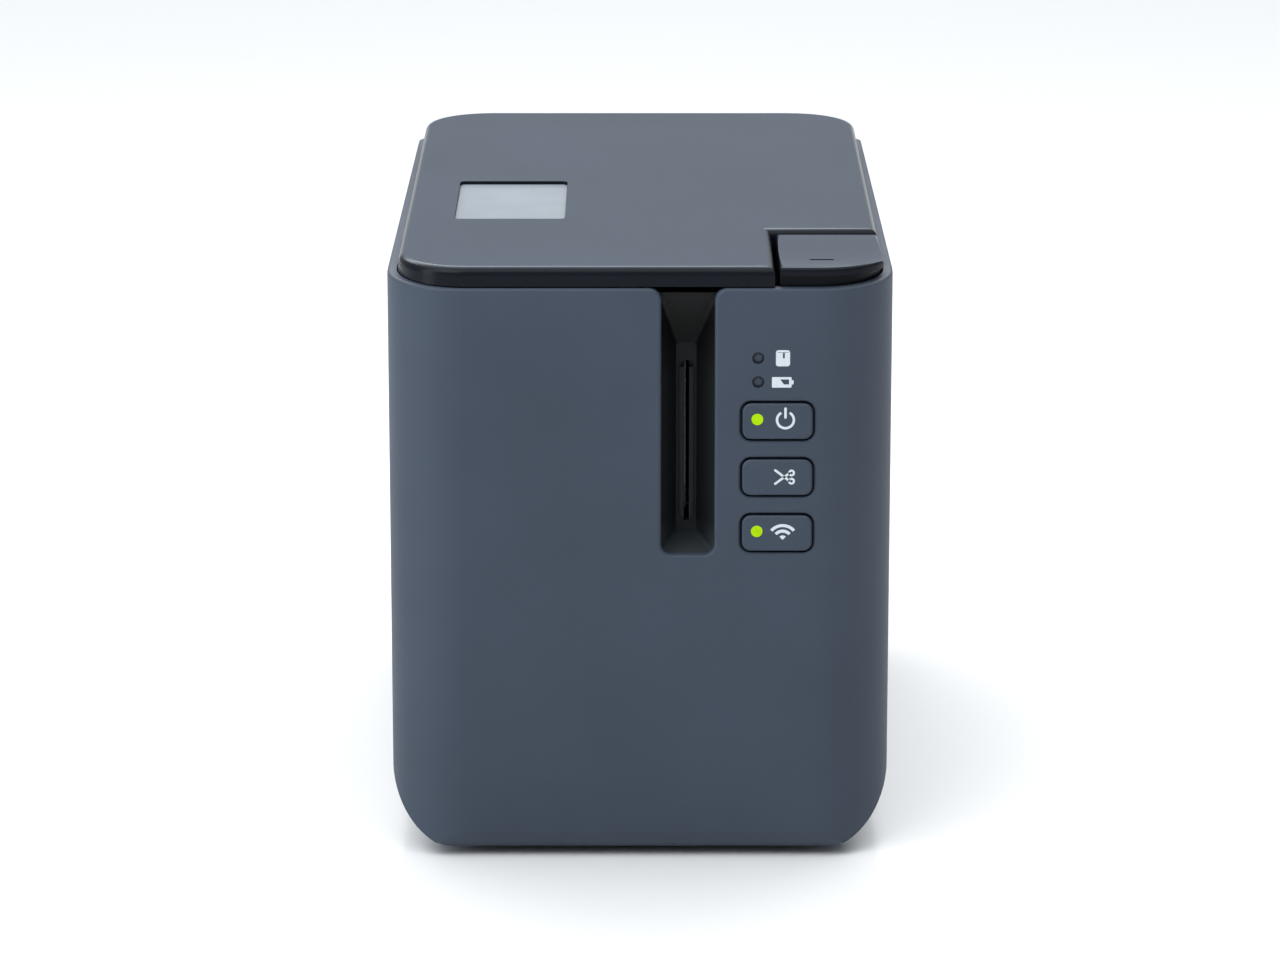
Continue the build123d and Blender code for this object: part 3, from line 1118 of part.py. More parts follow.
idler_phase = 0.0
platen_phase = mesh_phase(idler_phase, IDLER_TEETH, IDLER, PLATEN, PLATEN_TEETH)
pinion_phase = mesh_phase(idler_phase, IDLER_TEETH, IDLER, PINION, PINION_TEETH)
ribbon_phase = mesh_phase(idler_phase, IDLER_TEETH, IDLER, RIBBON, RIBBON_TEETH)
holder_phase = mesh_phase(platen_phase, PLATEN_TEETH, PLATEN, HOLDER_GEAR, HOLDER_TEETH)
feed_phase = mesh_phase(holder_phase, HOLDER_TEETH, HOLDER_GEAR, FEED, FEED_TEETH)


def feed_gear(centre, teeth, phase, bore):
    """Gear of the feed train, just above the bay's floor."""
    plane = Plane(origin=(*centre, GEAR_Z))
    with BuildPart() as gear:
        extrude(gear_outline(plane, teeth, GEAR_MODULE, phase, bore), amount=GEAR_T)
    return gear


press_bore = SHAFT_D + PRESS_BORE_GAP
idler_gear = feed_gear(IDLER, IDLER_TEETH, idler_phase, GEAR_POST_D + 2 * RUN_FIT)
platen_gear = feed_gear(PLATEN, PLATEN_TEETH, platen_phase, press_bore)
tape_feed_gear = feed_gear(FEED, FEED_TEETH, feed_phase, press_bore)
holder_gear = feed_gear(HOLDER_GEAR, HOLDER_TEETH, holder_phase, SHAFT_D + 2 * RUN_FIT)
motor_pinion = feed_gear(PINION, PINION_TEETH, pinion_phase, MOTOR_SHAFT_D + PRESS_BORE_GAP)

# Rubber rollers on steel shafts
roller_z = BAY_FLOOR_Z + ROLLER_ABOVE_FLOOR
holder_top_z = roller_z + ROLLER_L + HOLDER_GAP


def rubber_roller(centre, radius):
    with BuildPart() as roller:
        roller_low = Plane.XY.offset(roller_z)
        extrude(disc_at(roller_low, [centre], 2 * radius), amount=ROLLER_L)
        chamfer(roller.edges().filter_by(GeomType.CIRCLE), EDGE_SOFT)
        extrude(disc_at(roller_low, [centre], press_bore), amount=ROLLER_L, mode=Mode.SUBTRACT)
    return roller


def roller_shaft(centre):
    with BuildPart() as shaft:
        length = holder_top_z + HOLDER_T + HOLDER_GAP - GEAR_Z
        extrude(disc_at(Plane.XY.offset(GEAR_Z), [centre], SHAFT_D), amount=length)
    return shaft


platen_roller = rubber_roller(PLATEN, PLATEN_R)
platen_shaft = roller_shaft(PLATEN)
tape_feed_roller = rubber_roller(FEED, FEED_R)
tape_feed_shaft = roller_shaft(FEED)

# Swinging holder that carries both rollers on its two plates
with BuildPart() as roller_holder:
    front_y = FEED[1] - HOLDER_BOSS_R
    rear_y = PIVOT[1] + HOLDER_BOSS_R
    for z in (HOLDER_Z, holder_top_z):
        plate = polygon_on(
            Plane.XY.offset(z),
            (HOLDER_WEB_X, front_y), (HOLDER_WEB_X, rear_y), (PIVOT[0] - HOLDER_BOSS_R, rear_y),
            (PLATEN[0] - HOLDER_LIP, PLATEN[1] + HOLDER_BOSS_R), (FEED[0] - HOLDER_LIP, front_y),
        )
        extrude(plate, amount=HOLDER_T)
    holder_h = holder_top_z + HOLDER_T - HOLDER_Z
    holder_low = Plane.XY.offset(HOLDER_Z)
    web_low = (HOLDER_WEB_X - HOLDER_WEB_T, front_y)
    extrude(rectangle_between(holder_low, web_low, (HOLDER_WEB_X, rear_y)), amount=holder_h)
    extrude(disc_at(holder_low, [PIVOT], 2 * HOLDER_BOSS_R), amount=holder_h)
    extrude(disc_at(holder_low, [HOLDER_GEAR], SHAFT_D), amount=-HOLDER_GAP - GEAR_T)
    bores = disc_at(holder_low, [PIVOT, PLATEN, FEED], SHAFT_D + 2 * RUN_FIT)
    extrude(bores, amount=holder_h, mode=Mode.SUBTRACT)

with BuildPart() as holder_pivot_pin:
    pin_top_z = holder_top_z + HOLDER_T + HOLDER_GAP
    extrude(disc_at(Plane.XY.offset(BAY_UNDER_Z), [PIVOT], SHAFT_D), amount=pin_top_z - BAY_UNDER_Z)

# Ribbon spindle: gear and splined shaft moulded in one
with BuildPart() as ribbon_spindle:
    spindle_plane = Plane(origin=(*RIBBON, GEAR_Z))
    spindle_bore = SHAFT_D + 2 * RUN_FIT
    wheel = gear_outline(spindle_plane, RIBBON_TEETH, GEAR_MODULE, ribbon_phase, spindle_bore)
    extrude(wheel, amount=GEAR_T)
    with BuildSketch(spindle_plane.offset(GEAR_T)) as splines:
        Circle(SPINDLE_D / 2)
        with PolarLocations(0, SPINDLE_FINS // 2, angular_range=180):
            Rectangle(2 * SPINDLE_FIN_R, SPINDLE_FIN_T)
    extrude(amount=TAPE_HIGH_Z - SPINDLE_TOP_GAP - GEAR_Z - GEAR_T)
    extrude(disc_at(Plane.XY.offset(GEAR_Z), [RIBBON], spindle_bore), amount=3 * GEAR_T, mode=Mode.SUBTRACT)

# Feed motor under the bay's floor
with BuildPart() as feed_motor:
    motor_top = Plane.XY.offset(BAY_UNDER_Z)
    extrude(disc_at(motor_top, [PINION], FEED_MOTOR_D), amount=-FEED_MOTOR_L)
    chamfer(feed_motor.edges().group_by(Axis.Z)[0], 2 * EDGE_SOFT)
    extrude(disc_at(motor_top, [PINION], MOTOR_NOSE_D), amount=FLOOR_T - PANEL_GAP)
    extrude(disc_at(motor_top, [PINION], MOTOR_SHAFT_D), amount=GEAR_Z + GEAR_T - BAY_UNDER_Z)

# Print head: heat sink on a leg, with a narrow ceramic face towards the platen
head_face_x = TAPE_X - HEAD_GAP
head_sink_x = head_face_x - HEAD_FACE_T
head_low_z = BAY_FLOOR_Z + HEAD_ABOVE_FLOOR
with BuildPart() as head_heat_sink:
    sink_low = (head_sink_x - HEAD_T, PLATEN[1] - HEAD_LENGTH / 2)
    sink_high = (head_sink_x, PLATEN[1] + HEAD_LENGTH / 2)
    sink = rectangle_between(Plane.XY.offset(head_low_z), sink_low, sink_high, EDGE_SOFT)
    extrude(sink, amount=HEAD_H)
    leg_high = (sink_high[0], sink_low[1] + HEAD_LEG_L)
    leg = rectangle_between(Plane.XY.offset(BAY_FLOOR_Z), sink_low, leg_high)
    extrude(leg, amount=HEAD_ABOVE_FLOOR)

with BuildPart() as print_head:
    face_low = (head_sink_x, PLATEN[1] - HEAD_FACE_L / 2)
    face_high = (head_face_x, PLATEN[1] + HEAD_FACE_L / 2)
    extrude(rectangle_between(Plane.XY.offset(head_low_z), face_low, face_high), amount=HEAD_H)


# Cutter: two blades on a sheet-metal frame, driven through a toothed sector on the moving blade
BLADE_PIVOT = (BLADE_PIVOT_X, TAPE_LOW_Z - BLADE_PIVOT_BELOW_TAPE)
fixed_blade_y = FRONT_Y + BLADE_FROM_FRONT
moving_blade_y = fixed_blade_y + BLADE_T + BLADE_SHEAR_GAP
SECTOR_DISTANCE = mesh_distance(SECTOR_TEETH, SMALL_TEETH, CUT_MODULE)
CUT_GEAR = (BLADE_PIVOT[0] + SECTOR_DISTANCE, BLADE_PIVOT[1])
CUT_PINION = (CUT_GEAR[0], CUT_GEAR[1] - mesh_distance(WHEEL_TEETH, SMALL_TEETH, CUT_MODULE))
small_gear_y = moving_blade_y - (CUT_GEAR_T - BLADE_T) / 2
wheel_y = small_gear_y + CUT_GEAR_T + BODY_GAP
blade_top_z = TAPE_HIGH_Z + BLADE_TIP_RISE


def front_centre(centre, y):
    """Front-facing plane with its origin at a centre in the front view."""
    return Plane(origin=(centre[0], y, centre[1]), x_dir=(1, 0, 0), z_dir=(0, -1, 0))


with BuildPart() as cutter_frame:
    frame_top_z = blade_top_z + FRAME_MARGIN / 2
    frame_foot_z = CUT_PINION[1] - CUT_MOTOR_D / 2 - FRAME_MARGIN / 3
    shoulder_z = BLADE_PIVOT[1] - BLADE_HUB_R - FRAME_MARGIN / 3
    neck_z = CUT_GEAR[1] + 3 * FRAME_MARGIN
    sheet = polygon_on(
        front_plane(FRAME_Y + FRAME_T),
        (FRAME_LEFT, shoulder_z), (FRAME_STEP_X, shoulder_z), (FRAME_STEP_X, frame_foot_z),
        (FRAME_RIGHT, frame_foot_z), (FRAME_RIGHT, neck_z), (FRAME_NECK_X, neck_z),
        (FRAME_NECK_X, frame_top_z), (FRAME_LEFT, frame_top_z),
    )
    extrude(sheet, amount=FRAME_T)
    bracket_low = (FRAME_LEFT, TAPE_LOW_Z + FRAME_BOSS_D + FRAME_MARGIN)
    bracket_high = (FRAME_LEFT + BRACKET_W, TAPE_HIGH_Z - FRAME_BOSS_D)
    frame_face = front_plane(FRAME_Y)
    bracket = rectangle_between(frame_face, bracket_low, bracket_high)
    extrude(bracket, amount=FRAME_Y - fixed_blade_y - BLADE_T)
    for cut in (
        rectangle_between(frame_face, tape_low, tape_high),
        disc_at(frame_face, FRAME_SCREWS, SCREW_HOLE_D),
        disc_at(frame_face, [BLADE_PIVOT], BLADE_PIVOT_D + PRESS_BORE_GAP),
        disc_at(frame_face, [CUT_GEAR], SHAFT_D + PRESS_BORE_GAP),
        disc_at(frame_face, [CUT_PINION], MOTOR_NOSE_D),
    ):
        extrude(cut, amount=-FRAME_T, mode=Mode.SUBTRACT)

with BuildPart() as cutter_fixed_blade:
    edge_x = TAPE_X - FIXED_EDGE_GAP
    ear_left, ear_right = BLADE_PIVOT[0] - EAR_HALF, BLADE_PIVOT[0] + EAR_HALF
    ear_bottom, ear_top = BLADE_PIVOT[1] - EAR_HALF, BLADE_PIVOT[1] + EAR_HALF
    blade = polygon_on(
        front_plane(fixed_blade_y),
        (edge_x - FIXED_BLADE_W, TAPE_LOW_Z), (ear_left, ear_bottom), (ear_right, ear_bottom),
        (ear_right, ear_top), (edge_x, ear_top), (edge_x, blade_top_z),
        (edge_x - FIXED_BLADE_W, blade_top_z),
    )
    extrude(blade, amount=-BLADE_T)
    pin_bore = disc_at(front_plane(fixed_blade_y), [BLADE_PIVOT], BLADE_PIVOT_D + PRESS_BORE_GAP)
    extrude(pin_bore, amount=-BLADE_T, mode=Mode.SUBTRACT)

with BuildPart() as cutter_moving_blade:
    blade_plane = front_centre(BLADE_PIVOT, moving_blade_y)
    open_way = (cos(radians(BLADE_OPEN)), 0, -sin(radians(BLADE_OPEN)))
    open_plane = Plane(origin=blade_plane.origin, x_dir=open_way, z_dir=blade_plane.z_dir)
    edge = -BLADE_EDGE_BACK
    reach = blade_top_z - BLADE_PIVOT[1]
    arm = polygon_on(
        open_plane,
        (edge, 0), (edge + BLADE_W, 0), (edge + BLADE_W, reach - BLADE_SLANT), (edge, reach),
    )
    extrude(arm, amount=-BLADE_T)
    extrude(disc_at(front_plane(moving_blade_y), [BLADE_PIVOT], 2 * BLADE_HUB_R), amount=-BLADE_T)
    sector_points = [(0, 0)]
    for tooth in range(SECTOR_FIRST, SECTOR_LAST + 1):
        sector_points.extend(tooth_points(SECTOR_TEETH, CUT_MODULE, 360 * tooth / SECTOR_TEETH))
    extrude(polygon_on(blade_plane, *sector_points), amount=-BLADE_T)
    run_bore = disc_at(front_plane(moving_blade_y), [BLADE_PIVOT], BLADE_PIVOT_D + 2 * RUN_FIT)
    extrude(run_bore, amount=-BLADE_T, mode=Mode.SUBTRACT)

with BuildPart() as cutter_pivot_pin:
    pin_front_y = fixed_blade_y - BODY_GAP
    pin_disc = disc_at(front_plane(FRAME_Y + FRAME_T), [BLADE_PIVOT], BLADE_PIVOT_D)
    extrude(pin_disc, amount=FRAME_Y + FRAME_T - pin_front_y)

# Compound cutter gear: a small gear that meets the sector, and a wheel that meets the motor's pinion
small_phase = mesh_phase(0.0, SECTOR_TEETH, BLADE_PIVOT, CUT_GEAR, SMALL_TEETH)
wheel_phase = 90.0
cut_pinion_phase = mesh_phase(wheel_phase, WHEEL_TEETH, CUT_GEAR, CUT_PINION, SMALL_TEETH)
run_shaft = SHAFT_D + 2 * RUN_FIT
with BuildPart() as cutter_gear:
    small = gear_outline(front_centre(CUT_GEAR, wheel_y), SMALL_TEETH, CUT_MODULE, small_phase, run_shaft)
    extrude(small, amount=wheel_y - small_gear_y)
    wheel = gear_outline(front_centre(CUT_GEAR, wheel_y), WHEEL_TEETH, CUT_MODULE, wheel_phase, run_shaft)
    extrude(wheel, amount=-CUT_GEAR_T)

with BuildPart() as cutter_gear_pin:
    gear_pin = disc_at(front_plane(FRAME_Y + FRAME_T), [CUT_GEAR], SHAFT_D)
    extrude(gear_pin, amount=FRAME_Y + FRAME_T - small_gear_y + BODY_GAP)

with BuildPart() as cutter_pinion:
    pinion_bore = MOTOR_SHAFT_D + PRESS_BORE_GAP
    pinion_plane = front_centre(CUT_PINION, wheel_y)
    small = gear_outline(pinion_plane, SMALL_TEETH, CUT_MODULE, cut_pinion_phase, pinion_bore)
    extrude(small, amount=-CUT_GEAR_T)

with BuildPart() as cutter_motor:
    motor_face_y = FRAME_Y + FRAME_T
    extrude(disc_at(front_plane(motor_face_y), [CUT_PINION], CUT_MOTOR_D), amount=-CUT_MOTOR_L)
    chamfer(cutter_motor.edges().group_by(Axis.Y)[-1], 2 * EDGE_SOFT)
    extrude(disc_at(front_plane(motor_face_y), [CUT_PINION], MOTOR_NOSE_D - 2 * PANEL_GAP), amount=FRAME_T)
    extrude(disc_at(front_plane(motor_face_y), [CUT_PINION], MOTOR_SHAFT_D), amount=motor_face_y - wheel_y)

# Tape cassette
room_front_y = PLATEN[1] - HEAD_LENGTH / 2 - HEAD_ROOM
room_rear_y = PLATEN[1] + HEAD_LENGTH / 2 + HEAD_ROOM
room_left_x = head_sink_x - HEAD_T - HEAD_SIDE_ROOM
split_z = CASSETTE_Z + CASSETTE_SPLIT


def cassette_plan(z, inset):
    """Cassette outline from above, with room for the print head left open towards the tape."""
    left = CASSETTE_LEFT + inset
    right = CASSETTE_RIGHT - inset
    arm_x = CASSETTE_ARM_X - inset
    room_x = room_left_x - inset
    front = cassette_front_y + inset
    rear = cassette_rear_y - inset
    with BuildSketch(Plane.XY.offset(z)) as outline:
        with BuildLine():
            Polyline(
                (left, front), (arm_x, front),
                (arm_x, room_front_y - inset), (room_x, room_front_y - inset),
                (room_x, room_rear_y + inset), (right, room_rear_y + inset),
                (right, rear), (left, rear), close=True,
            )
        make_face()
        fillet(outline.vertices(), CASSETTE_R - inset)
    return outline.sketch


with BuildPart() as cassette_lower_case:
    extrude(cassette_plan(CASSETTE_Z, 0.0), amount=CASSETTE_SPLIT)
    inside_z = CASSETTE_Z + CASSETTE_WALL
    extrude(cassette_plan(inside_z, CASSETTE_WALL), amount=CASSETTE_SPLIT, mode=Mode.SUBTRACT)
    cassette_under = Plane.XY.offset(CASSETTE_Z)
    core_d = 2 * (TAPE_CORE_R - TAPE_CORE_FIT)
    extrude(disc_at(cassette_under, [TAPE_ROLL], core_d), amount=CASSETTE_SPLIT)
    extrude(disc_at(cassette_under, [SUPPLY], 2 * (SUPPLY_CORE_R - TAPE_CORE_FIT)), amount=CASSETTE_SPLIT)
    core_hollow = disc_at(Plane.XY.offset(inside_z), [TAPE_ROLL], core_d - 2 * CASSETTE_WALL)
    extrude(core_hollow, amount=CASSETTE_SPLIT, mode=Mode.SUBTRACT)
    spindle_hole = disc_at(cassette_under, [RIBBON], 2 * (SPINDLE_FIN_R + HEAD_ROOM))
    extrude(spindle_hole, amount=CASSETTE_SPLIT, mode=Mode.SUBTRACT)

with BuildPart() as cassette_upper_case:
    extrude(cassette_plan(split_z, 0.0), amount=CASSETTE_H - CASSETTE_SPLIT)
    upper_room = CASSETTE_H - CASSETTE_SPLIT - CASSETTE_WALL
    extrude(cassette_plan(split_z, CASSETTE_WALL), amount=upper_room, mode=Mode.SUBTRACT)


def spool(centre, outer_r, inner_r):
    """Wound roll on its core, as tall as the tape."""
    with BuildPart() as roll:
        with BuildSketch(Plane(origin=(*centre, TAPE_LOW_Z))):
            Circle(outer_r)
            Circle(inner_r, mode=Mode.SUBTRACT)
        extrude(amount=TAPE_W)
    return roll


label_tape_roll = spool(TAPE_ROLL, TAPE_ROLL_R, TAPE_CORE_R)
ribbon_supply_spool = spool(SUPPLY, SUPPLY_R, SUPPLY_CORE_R)
ribbon_takeup_spool = spool(RIBBON, TAKEUP_R, hypot(SPINDLE_FIN_R, SPINDLE_FIN_T / 2) + RUN_FIT)

with BuildPart() as label_tape:
    tape_end_y = moving_blade_y + BLADE_T + BODY_GAP
    strip_low = (TAPE_X - TAPE_T / 2, tape_end_y)
    strip_high = (TAPE_X + TAPE_T / 2, room_rear_y)
    extrude(rectangle_between(Plane.XY.offset(TAPE_LOW_Z), strip_low, strip_high), amount=TAPE_W)

# Main board with its two sockets
port_face_y = REAR_Y - WALL - PORT_SET_BACK
with BuildPart() as main_pcb:
    board_low = (-BOARD_HALF_W, BOARD_REAR_Y - BOARD_LENGTH)
    board_under = Plane.XY.offset(BOARD_Z)
    board = rectangle_between(board_under, board_low, (BOARD_HALF_W, BOARD_REAR_Y), BOARD_T)
    extrude(board, amount=BOARD_T)
    extrude(disc_at(board_under, board_posts, STAKE_HOLE_D), amount=BOARD_T, mode=Mode.SUBTRACT)

with BuildPart() as usb_port:
    usb_mid_z = BOARD_TOP_Z + USB_H / 2
    usb_face = front_plane(port_face_y)
    usb_low = (USB_X - USB_W / 2, BOARD_TOP_Z)
    usb_high = (USB_X + USB_W / 2, BOARD_TOP_Z + USB_H)
    extrude(rectangle_between(usb_face, usb_low, usb_high), amount=USB_L)
    mouth_half = (USB_W / 2 - 2 * USB_SHELL_T, USB_H / 2 - 2 * USB_SHELL_T)
    mouth_low = (USB_X - mouth_half[0], usb_mid_z - mouth_half[1])
    mouth_high = (USB_X + mouth_half[0], usb_mid_z + mouth_half[1])
    tongue = rectangle_between(
        usb_face, (USB_X - USB_TONGUE_W / 2, usb_mid_z - USB_TONGUE_H / 2),
        (USB_X + USB_TONGUE_W / 2, usb_mid_z + USB_TONGUE_H / 2),
    )
    mouth = rectangle_between(usb_face, mouth_low, mouth_high)
    extrude(mouth - tongue, amount=PORT_BORE_L, mode=Mode.SUBTRACT)

with BuildPart() as dc_jack:
    jack_mid = (JACK_X, BOARD_TOP_Z + JACK_H / 2)
    jack_face = front_plane(port_face_y)
    jack_low = (JACK_X - JACK_W / 2, BOARD_TOP_Z)
    jack_high = (JACK_X + JACK_W / 2, BOARD_TOP_Z + JACK_H)
    extrude(rectangle_between(jack_face, jack_low, jack_high), amount=JACK_L)
    extrude(disc_at(jack_face, [jack_mid], JACK_BORE_D), amount=PORT_BORE_L, mode=Mode.SUBTRACT)
    contact = disc_at(front_plane(port_face_y - JACK_PIN_SHORT), [jack_mid], JACK_PIN_D)
    extrude(contact, amount=PORT_BORE_L)

# Screws of the deck and of the cutter frame
with BuildPart() as chassis_screws:
    for x, y in DECK_SCREWS:
        add(screw(Plane(origin=(x, y, DECK_Z))))
    for x, z in FRAME_SCREWS:
        add(screw(front_centre((x, z), FRAME_Y)))

NODES = {
    "front_shell": front_shell, "rear_case": rear_case, "base_plate": base_plate,
    "rubber_feet": rubber_feet, "base_screws": base_screws,
    "cover_shell": cover_shell, "cover_window": cover_window, "cover_hinge_pins": cover_hinge_pins,
    "release_button": release_button, "latch_slider": latch_slider,
    "power_button": power_button, "feed_cut_button": feed_cut_button, "wireless_button": wireless_button,
    "power_led_lens": power_led_lens, "wireless_led_lens": wireless_led_lens,
    "status_lenses": status_lenses,
    "power_switch_plunger": power_switch_plunger, "feed_cut_switch_plunger": feed_cut_switch_plunger,
    "wireless_switch_plunger": wireless_switch_plunger,
    "panel_pcb": panel_pcb, "panel_switches": panel_switches,
    "main_chassis": main_chassis, "chassis_screws": chassis_screws, "exit_chute": exit_chute,
    "head_heat_sink": head_heat_sink, "print_head": print_head,
    "roller_holder": roller_holder, "holder_pivot_pin": holder_pivot_pin, "holder_gear": holder_gear,
    "platen_roller": platen_roller, "platen_shaft": platen_shaft, "platen_gear": platen_gear,
    "tape_feed_roller": tape_feed_roller, "tape_feed_shaft": tape_feed_shaft,
    "tape_feed_gear": tape_feed_gear,
    "idler_gear": idler_gear, "motor_pinion": motor_pinion, "feed_motor": feed_motor,
    "ribbon_spindle": ribbon_spindle,
    "cutter_frame": cutter_frame, "cutter_fixed_blade": cutter_fixed_blade,
    "cutter_moving_blade": cutter_moving_blade, "cutter_pivot_pin": cutter_pivot_pin,
    "cutter_gear": cutter_gear, "cutter_gear_pin": cutter_gear_pin, "cutter_pinion": cutter_pinion,
    "cutter_motor": cutter_motor,
    "cassette_lower_case": cassette_lower_case, "cassette_upper_case": cassette_upper_case,
    "label_tape_roll": label_tape_roll, "label_tape": label_tape,
    "ribbon_supply_spool": ribbon_supply_spool, "ribbon_takeup_spool": ribbon_takeup_spool,
    "main_pcb": main_pcb, "usb_port": usb_port, "dc_jack": dc_jack,
}
os.makedirs("parts", exist_ok=True)
for name, piece in NODES.items():
    piece.part.label = name
    export_step(piece.part, f"parts/{name}.step")
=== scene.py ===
import math

import bmesh
import bpy
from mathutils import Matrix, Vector
from mathutils.geometry import tessellate_polygon


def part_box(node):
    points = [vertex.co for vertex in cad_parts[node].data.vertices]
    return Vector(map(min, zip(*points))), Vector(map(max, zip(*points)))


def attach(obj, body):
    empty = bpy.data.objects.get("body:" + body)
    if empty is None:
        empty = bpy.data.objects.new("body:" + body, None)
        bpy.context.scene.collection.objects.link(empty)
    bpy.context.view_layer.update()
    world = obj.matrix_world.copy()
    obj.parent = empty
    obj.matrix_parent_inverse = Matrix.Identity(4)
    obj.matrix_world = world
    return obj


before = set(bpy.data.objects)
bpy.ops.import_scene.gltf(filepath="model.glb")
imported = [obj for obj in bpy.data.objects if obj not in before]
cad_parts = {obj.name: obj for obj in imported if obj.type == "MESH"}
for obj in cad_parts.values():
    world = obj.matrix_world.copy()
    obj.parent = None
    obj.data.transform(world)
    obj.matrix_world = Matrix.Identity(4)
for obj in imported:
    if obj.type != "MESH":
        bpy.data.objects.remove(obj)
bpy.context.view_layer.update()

MM = 0.001
SRGB_MAX = 255.0

# Camera: distance and tilt that give the photograph's perspective
CAMERA_AT = (0.0, -1213.6 * MM, 369.1 * MM)
CAMERA_TILT = math.radians(13.92)
CAMERA_LENS = 139.5

# Printed marks are thin sheets of paint, let into the face that carries them
PAINT_T = 0.05 * MM
PAINT_PROUD = 0.02 * MM
ARC_STEP = math.radians(7.5)

# Materials: noise scales are in waves per metre, and noise is read between two levels
NOISE_LOW = 0.3
NOISE_HIGH = 0.7
DRIFT_SCALE = 28.0
GRAIN_SIZE = 0.25 * MM
GRAIN_DEPTH = 0.012 * MM
GRAIN_STRENGTH = 0.6
HAZE_SCALE = 700.0
GLOSS_LOW = 0.88
GLOSS_HIGH = 1.12
TONE_SPREAD = 0.05

# Upward share of the normal where the lid's painted side shade ends and its top colour begins
SIDE_FACING = 0.75
TOP_FACING = 0.98

# Painted shade on an unlit lens: share of its radius where its rim begins to darken, and where it is
# darkest
RIM_FROM = 0.45
RIM_TO = 0.9
RIM_SHADE_TONE = 0.15

# Sockets of the colour mix node
MIX_FACTOR = 0
MIX_FIRST = 6
MIX_SECOND = 7
MIX_RESULT = 2


def linear(red, green, blue):
    """Linear colour of an sRGB colour given in 0 to 255."""
    values = []
    for channel in (red, green, blue):
        part = channel / SRGB_MAX
        values.append(part / 12.92 if part <= 0.04045 else ((part + 0.055) / 1.055) ** 2.4)
    return (*values, 1.0)


# Materials
def start_material(name):
    """New material with its shader, and texture coordinates in the part's own frame."""
    material = bpy.data.materials.new(name)
    material.use_nodes = True
    nodes = material.node_tree.nodes
    shader = nodes["Principled BSDF"]
    coordinates = nodes.new("ShaderNodeTexCoord")
    return material, shader, coordinates


def noise_from(material, coordinates, scale, detail, stretch=(1.0, 1.0, 1.0)):
    """Noise texture in the part's own frame, with an optional stretch for drawn or brushed grain."""
    tree = material.node_tree
    mapping = tree.nodes.new("ShaderNodeMapping")
    mapping.inputs["Scale"].default_value = stretch
    tree.links.new(coordinates.outputs["Object"], mapping.inputs["Vector"])
    noise = tree.nodes.new("ShaderNodeTexNoise")
    noise.inputs["Scale"].default_value = scale
    noise.inputs["Detail"].default_value = detail
    tree.links.new(mapping.outputs["Vector"], noise.inputs["Vector"])
    return noise


def toned(material, noise, dark, light):
    """Colour that wanders between two tones."""
    tree = material.node_tree
    ramp = tree.nodes.new("ShaderNodeValToRGB")
    ramp.color_ramp.elements[0].position = NOISE_LOW
    ramp.color_ramp.elements[0].color = dark
    ramp.color_ramp.elements[1].position = NOISE_HIGH
    ramp.color_ramp.elements[1].color = light
    tree.links.new(noise.outputs["Fac"], ramp.inputs["Fac"])
    return ramp.outputs["Color"]


def vary_colour(material, shader, noise, dark, light):
    """Base colour that wanders between two tones."""
    colour = toned(material, noise, dark, light)
    material.node_tree.links.new(colour, shader.inputs["Base Color"])


def vary_roughness(material, shader, noise, low, high):
    """Roughness that wanders between two values."""
    tree = material.node_tree
    spread = tree.nodes.new("ShaderNodeMapRange")
    spread.inputs["From Min"].default_value = NOISE_LOW
    spread.inputs["From Max"].default_value = NOISE_HIGH
    spread.inputs["To Min"].default_value = low
    spread.inputs["To Max"].default_value = high
    tree.links.new(noise.outputs["Fac"], spread.inputs["Value"])
    tree.links.new(spread.outputs["Result"], shader.inputs["Roughness"])


def add_bump(material, shader, noise, depth, strength):
    """Fine relief from a noise."""
    tree = material.node_tree
    bump = tree.nodes.new("ShaderNodeBump")
    bump.inputs["Distance"].default_value = depth
    bump.inputs["Strength"].default_value = strength
    tree.links.new(noise.outputs["Fac"], bump.inputs["Height"])
    tree.links.new(bump.outputs["Normal"], shader.inputs["Normal"])


def scaled(colour, factor):
    return (colour[0] * factor, colour[1] * factor, colour[2] * factor, 1.0)


def moulded_plastic(name, colour, roughness, grain=GRAIN_DEPTH, tone=0.06, specular=0.5):
    """Moulded plastic: a fine etched grain, with a slow drift of tone and gloss."""
    material, shader, coordinates = start_material(name)
    drift = noise_from(material, coordinates, DRIFT_SCALE, 3.0)
    vary_colour(material, shader, drift, scaled(colour, 1 - tone), scaled(colour, 1 + tone))
    etching = noise_from(material, coordinates, 1 / GRAIN_SIZE, 2.0)
    vary_roughness(material, shader, etching, roughness * GLOSS_LOW, roughness * GLOSS_HIGH)
    add_bump(material, shader, etching, grain, GRAIN_STRENGTH)
    shader.inputs["Specular IOR Level"].default_value = specular
    return material


